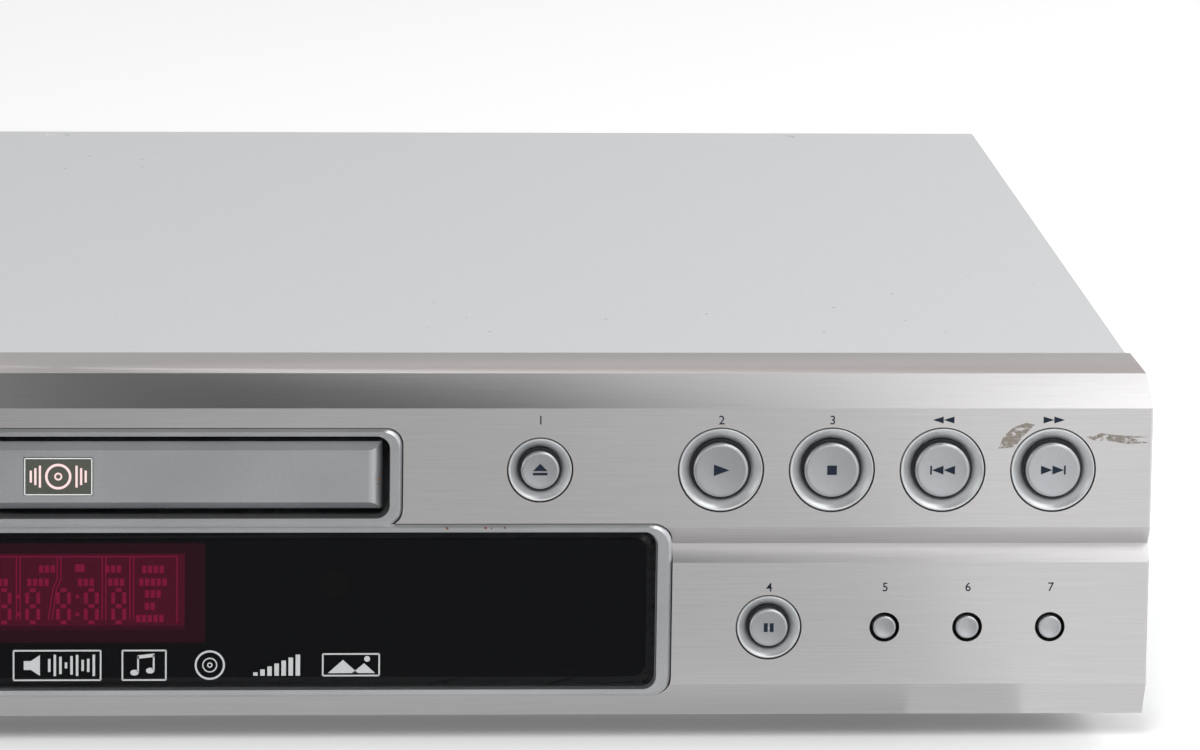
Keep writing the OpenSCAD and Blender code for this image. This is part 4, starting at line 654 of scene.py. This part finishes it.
def makePanelMarks():
    s, k = panelMarks, keySigns
    stopX, backX, nextX = (k["playX"] + i * k["pitch"] for i in (1, 2, 3))
    for text, x in (("1", k["openX"]), ("2", k["playX"]), ("3", stopX)):
        makeNumber(text, x, s["rowZ"])
    makeNumber("4", k["pauseX"], s["lowRowZ"])
    for i in range(3):
        makeNumber(str(5 + i), k["smallX"] + i * k["smallPitch"], s["lowRowZ"])
    makeNumber("0", k["powerX"], s["rowZ"])
    w, h = s["seekWidth"], s["seekHeight"]
    outlines = [arrow(x + side * w / 2, s["rowZ"], w, h, way)
                for x, way in ((backX, -1), (nextX, 1)) for side in (-1, 1)]
    printPiece("seek_marks", outlines, frontY - s["lift"] * mm, s["thickness"], ink, "player")


makeKeySigns()
makePanelMarks()
print("symbols printed")


# Display behind the window: a dim filter, a brighter grid on it, and brighter bars on that, all with painted glow

display = {
    "filter": (-30.4, 19.5, 30.4, 41.7),                               # mm: left, bottom, right, top
    "frame": (-23.6, 24.6, 23.6, 38.1),
    "gridSide": 1.5, "gridRise": 0.6, "edgeDrop": 1.5,                 # how far the grid goes past it
    "filterThickness": 0.04, "thickness": 0.03,
    "line": 0.22, "bar": 0.74, "corner": 0.7,                          # gap at a corner, in widths of a bar
    "dividers": (-18.9, -13.6, -7.9, 0.2, 9.1, 14.6), "dividerHalf": 0.36, "dividerFoot": 0.6,
    "leaning": 3, "lean": 0.9,                                         # place in the row, and how far
    "bends": (33.6, 31.4),                                             # heights of its bends
    "figures": (-21.9, -16.3, -10.72, -5.04, 1.07, 6.59, 12.02),
    "figureZ": 28.03, "figureWidth": 2.2, "figureHeight": 6.6,
    "dots": (-13.5, -7.9, 3.8), "dotHeights": (26.4, 30.0), "dotHalf": 0.35,
    # plain blocks where such displays have their little signs: across, up, how many
    "blocks": [(-16, 35.6, 3), (-2.2, 35.6, 3), (4.3, 35.8, 1), (10.9, 35.6, 3), (18.8, 35.5, 4),
               (-20, 32.9, 3), (-12.1, 32.9, 4), (-4.0, 32.9, 4), (5.5, 32.9, 3), (11.5, 32.9, 3),
               (18.8, 32.9, 5), (18.8, 30.5, 3), (18.2, 28.0, 2), (18.2, 25.5, 5)],
    "blockHalf": (0.425, 0.75), "loneBlockHalf": (0.95, 0.75), "blockPitch": 1.15,
}


def figureBars(x, z):
    # the seven bars of one figure, with small gaps at the corners
    s = display
    bar, width, height = s["bar"], s["figureWidth"], s["figureHeight"]
    g = bar * s["corner"]
    left, right = x - width / 2, x + width / 2
    low, high = z - height / 2, z + height / 2
    bars = [stroke(left + g, level, right - g, level, bar) for level in (low, z, high)]
    for side in (left, right):
        bars.append(stroke(side, low + g, side, z - g, bar))
        bars.append(stroke(side, z + g, side, high - g, bar))
    return bars


def displayLines():
    # three sides of the frame, and the dividers in pairs
    s = display
    x0, z0, x1, z1 = s["frame"]
    foot = z0 + s["dividerFoot"]
    upper, lower = s["bends"]
    lines = [(x0, z0, x0, z1), (x1, z0, x1, z1), (x0, z1, x1, z1)]
    for k, divider in enumerate(s["dividers"]):
        lean = s["lean"] if k == s["leaning"] else 0.0
        for x in (divider - s["dividerHalf"], divider + s["dividerHalf"]):
            lines.append((x, upper, x, z1))
            lines.append((x - lean, lower, x, upper))
            lines.append((x - lean * 2, foot, x - lean, lower))
    return [stroke(*line, s["line"]) for line in lines]


def displaySigns():
    s = display
    dots = [block(x, z, s["dotHalf"], s["dotHalf"]) for x in s["dots"] for z in s["dotHeights"]]
    blocks = []
    for x, z, count in s["blocks"]:
        half = s["loneBlockHalf"] if count == 1 else s["blockHalf"]
        blocks += [block(x + (k - (count - 1) / 2) * s["blockPitch"], z, *half) for k in range(count)]
    return dots + blocks


def makeDisplay():
    s = display
    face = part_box("display_tube")[0].y
    # their glows are painted light, standing in for light that reaches the display through the dark window
    base = plainInk("magentaFilter", "#3a0f22", 0.4, glow="#6e1238", strength=1.15)
    brightBars = plainInk("displayBars", "#7d1a40", 0.4, glow="#c81e5c", strength=3.3)
    panel = plainInk("displayGrid", "#4a1128", 0.4, glow="#9c1648", strength=1.9)
    edge = plainInk("displayGridEdge", "#44112a", 0.4, glow="#7f1440", strength=1.5)
    x0, z0, x1, z1 = s["frame"]
    left, right, foot = x0 - s["gridSide"], x1 + s["gridSide"], z0 - s["gridRise"]
    grid = rectangle(left, foot, right, z1 + s["gridRise"])
    gridEdge = rectangle(left, z0 - s["edgeDrop"], right, foot)
    figures = [outline for x in s["figures"] for outline in figureBars(x, s["figureZ"])]
    signs = displayLines() + figures + displaySigns()
    onFilter = face - s["filterThickness"] * mm
    onGrid = onFilter - s["thickness"] * mm
    for name, outlines, y, thickness, material in (
            ("filter", [rectangle(*s["filter"])], face, s["filterThickness"], base),
            ("grid", [grid], onFilter, s["thickness"], panel),
            ("grid_edge", [gridEdge], onFilter, s["thickness"], edge),
            ("figures", signs, onGrid, s["thickness"], brightBars)):
        printPiece("display_" + name, outlines, y, thickness, material, "player")


makeDisplay()
print("display made")


# Signs printed on the window, from left to right

windowSigns = {
    "z": 17.85, "half": 3.0, "thickness": 0.02, "lift": 0.01, "line": 0.32,     # mm
    # the glow is painted light that brightens the pale print
    "paint": "#b4b6b7", "glow": 0.02,
    "soundFrame": (-8.8, 8.4),
    "horn": (-6.8, -5.4, -3.6, 0.9, 2.1),          # back, neck, mouth, half heights there
    "waves": 9, "wavesX": -2.0, "wavePitch": 1.1, "waveWidth": 0.5, "waveHeights": (0.5, 1.7),
    "waveBeat": (0.9, 0.5),                        # turn from one to the next, and at the first
    "noteX": 17.0, "noteHalf": 4.3, "stem": 0.35, "noteHead": (0.85, 0.6),
    "stems": [(-1.2, -1.4, 1.9), (1.9, -1.0, 2.2)],                    # across, from, to
    "beam": [(-1.35, 1.3), (2.05, 1.7), (2.05, 2.4), (-1.35, 2.0)],
    "heads": [(-1.9, -1.5), (1.2, -1.1)],
    "discX": 30.0, "discRings": [(3.0, 2.6, 36), (1.5, 1.25, 28), (0.55, 0.3, 16)],  # radii and steps
    "steps": 7, "stepsX": 38.6, "stepPitch": 1.4, "stepWidth": 0.9, "stepFoot": 2.2,
    "stepTop": 1.5, "stepRise": 0.6,
    "pictureFrame": (52.4, 63.6), "pictureHalf": 2.2,
    "hills": [[(53.4, -1.7), (59.4, -1.7), (56.4, 1.0)], [(58.2, -1.7), (62.8, -1.7), (60.6, 0.3)]],
    "sun": (61.2, 1.2, 0.6),
}


def soundSign(z):
    # a loudspeaker and its waves in a long frame
    s = windowSigns
    left, right = s["soundFrame"]
    back, neck, mouth, small, wide = s["horn"]
    horn = [(neck, z - small), (mouth, z - wide), (mouth, z + wide), (neck, z + small)]
    outlines = frameOutlines(left, z - s["half"], right, z + s["half"], s["line"])
    outlines += [rectangle(back, z - small, neck, z + small), horn]
    (least, more), (turn, first) = s["waveHeights"], s["waveBeat"]
    for k in range(s["waves"]):
        x, h = s["wavesX"] + k * s["wavePitch"], least + more * abs(sin(k * turn + first))
        outlines.append(rectangle(x, z - h, x + s["waveWidth"], z + h))
    return outlines


def noteSign(z):
    # two notes with a beam, in a frame
    s = windowSigns
    x = s["noteX"]
    outlines = frameOutlines(x - s["noteHalf"], z - s["half"], x + s["noteHalf"], z + s["half"], s["line"])
    outlines += [stroke(x + dx, z + low, x + dx, z + high, s["stem"]) for dx, low, high in s["stems"]]
    outlines.append([(x + dx, z + dz) for dx, dz in s["beam"]])
    return outlines + [oval(x + dx, z + dz, *s["noteHead"]) for dx, dz in s["heads"]]


def discSign(z):
    rings = windowSigns["discRings"]
    return [piece for outer, inner, steps in rings
            for piece in ringOutlines(windowSigns["discX"], z, outer, inner, steps)]


def stepSign(z):
    # bars that rise to the right
    s = windowSigns
    places = [s["stepsX"] + k * s["stepPitch"] for k in range(s["steps"])]
    return [rectangle(x, z - s["stepFoot"], x + s["stepWidth"], z - s["stepTop"] + k * s["stepRise"])
            for k, x in enumerate(places)]


def pictureSign(z):
    # a picture frame with two hills and a sun
    s = windowSigns
    (left, right), half = s["pictureFrame"], s["pictureHalf"]
    outlines = frameOutlines(left, z - half, right, z + half, s["line"])
    outlines += [[(x, z + dz) for x, dz in hill] for hill in s["hills"]]
    x, dz, radius = s["sun"]
    return outlines + [oval(x, z + dz, radius, radius)]


def makeWindowSigns():
    s = windowSigns
    paint = plainInk("paleWindowPrint", s["paint"], 0.5, glow=s["paint"], strength=s["glow"])
    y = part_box("display_window")[0].y - s["lift"] * mm
    outlines = [outline for sign in (soundSign, noteSign, discSign, stepSign, pictureSign)
                for outline in sign(s["z"])]
    printPiece("window_signs", outlines, y, s["thickness"], paint, "player")


makeWindowSigns()
print("window signs printed")


# Badge on the tray door: an olive plate with a disc between bars, and a thin bright rim

badge = {
    "z": 56.15, "half": 6.6, "halfHeight": 3.65,                       # mm
    "plate": "#494c43", "plateShade": "#41443c", "foil": "#f0cfce", "rim": "#d4d6d6",
    # the foil's glow is painted light that brightens it
    "foilPaintedGlow": 0.02, "foilThickness": 0.03, "rimThickness": 0.05, "rimWidth": 0.22,
    "discRings": [(2.6, 2.1, 36), (0.8, 0.45, 20)],                    # radii and steps
    "bars": 3, "barX": 3.6, "barPitch": 0.9, "barHalf": (0.22, 2.2), "barFall": 0.5,
}


def makeBadge():
    s = badge
    y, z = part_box("tray_badge")[0].y, s["z"]
    nodes["tray_badge"].data.materials[0] = mouldedPlastic("olivePlate", s["plate"], s["plateShade"], 0.5)
    foil = plainInk("paleFoil", s["foil"], 0.35, glow=s["foil"], strength=s["foilPaintedGlow"])
    outlines = [piece for outer, inner, steps in s["discRings"]
                for piece in ringOutlines(0, z, outer, inner, steps)]
    halfWidth, halfHeight = s["barHalf"]
    for side in (-1, 1):
        for k in range(s["bars"]):
            x = side * (s["barX"] + k * s["barPitch"])
            outlines.append(block(x, z, halfWidth, halfHeight - k * s["barFall"]))
    printPiece("badge_sign", outlines, y, s["foilThickness"], foil, "tray")
    rim = plainInk("badgeRim", s["rim"], 0.3, glow=s["rim"])
    sides = frameOutlines(-s["half"], z - s["halfHeight"], s["half"], z + s["halfHeight"], s["rimWidth"])
    printPiece("badge_rim", sides, y, s["rimThickness"], rim, "tray")


makeBadge()
print("badge made")


# Signs of use on the front: dried glue by the last button, and a few rust spots on silver edges

wear = {
    "smear": "#8f877c", "rust": "#7c5238", "thickness": 0.012, "lift": 0.005,       # mm
    "patch": 1.6, "patchFlat": 1.6,      # size of the film's patches, and how much flatter than wide
    "glue": [[(186.2, 61.7), (187.1, 64.1), (189.0, 66.0), (191.6, 67.0), (193.4, 66.6), (191.0, 64.2),
              (189.5, 62.1), (187.9, 61.9)],
             [(203.6, 64.1), (206.5, 64.9), (209.4, 64.5), (212.6, 63.9), (216.2, 64.1), (216.2, 62.9),
              (211.8, 62.7), (208.2, 63.3), (205.4, 63.4)]],
    "spots": [(76.8, 45.75, 0.3), (84.4, 45.8, 0.32), (85.6, 45.7, 0.2), (88.2, 45.85, 0.26)],
    "doorSpots": [(63.2, 55.5, 0.3), (63.0, 54.6, 0.16)],              # across, up, radius
    "spotCorners": 10, "spotAcross": (0.7, 1.2), "spotUp": (0.6, 1.1), # uneven shares of the radius
}


# Dried glue: a dull patchy film, gone in places
def driedGlue(name, tone):
    material, tree, shader = newMaterial(name)
    patch = addNode(tree, "ShaderNodeTexNoise",
                    {"Scale": 1 / (wear["patch"] * mm), "Detail": 5.0, "Roughness": 0.65},
                    Vector=objectPlace(tree, (1, 1, wear["patchFlat"])))
    cover = addNode(tree, "ShaderNodeMapRange", {1: 0.4, 2: 0.6, 3: 0.0, 4: 0.72},
                    Value=patch.outputs["Fac"])
    shader.inputs["Base Color"].default_value = toLinear(tone)
    shader.inputs["Roughness"].default_value = 0.75
    plug(tree, shader, Alpha=cover.outputs[0])
    return material


def roughSpot(random, x, z, radius):
    # an uneven dot
    outline = []
    for k in range(wear["spotCorners"]):
        a = 2 * pi * k / wear["spotCorners"]
        across = radius * random.uniform(*wear["spotAcross"]) * cos(a)
        up = radius * random.uniform(*wear["spotUp"]) * sin(a)
        outline.append((x + across, z + up))
    return outline


def makeWear():
    s = wear
    glue = driedGlue("driedGlue", s["smear"])
    printPiece("glue_smear", s["glue"], frontY - s["lift"] * mm, s["thickness"], glue, "player")
    rust = plainInk("rustSpot", s["rust"], 0.8)
    random = Random(4)
    for name, body, spots, piece in (("frame_spots", "player", s["spots"], "escutcheon"),
                                     ("door_spots", "tray", s["doorSpots"], "tray_door")):
        outlines = [roughSpot(random, *spot) for spot in spots]
        printPiece(name, outlines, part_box(piece)[0].y, s["thickness"], rust, body)


makeWear()
print("signs of use made")


# Coloured rings in the sockets at the back

sockets = {
    "face": 0.6,                         # mm inside the shells' mouths
    "outer": 3.1, "inner": 1.7, "thickness": 0.05, "steps": 32,
    "places": [(150, 28, "#e2e0d8"), (150, 46, "#b3342c"), (168, 28, "#3f66a8"), (168, 46, "#8b8f94"),
               (186, 28, "#3f8a55"), (186, 46, "#70488a"), (96, 22, "#3f8a55"), (96, 38, "#3f66a8"),
               (96, 54, "#b3342c"), (72, 22, "#d9bb3c"), (48, 22, "#cf7a2e")],
}


def makeSocketRings():
    s = sockets
    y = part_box("jack_shells")[1].y - s["face"] * mm
    plastics = {}
    for k, (x, z, tone) in enumerate(s["places"], 1):
        if tone not in plastics:
            plastics[tone] = mouldedPlastic("socketPlastic" + tone[1:], tone, tone, 0.4)
        printPiece(f"socket_ring_{k}", ringOutlines(x, z, s["outer"], s["inner"], s["steps"]),
                   y + s["thickness"] * mm, s["thickness"], plastics[tone], "player")


makeSocketRings()
print("socket rings made")
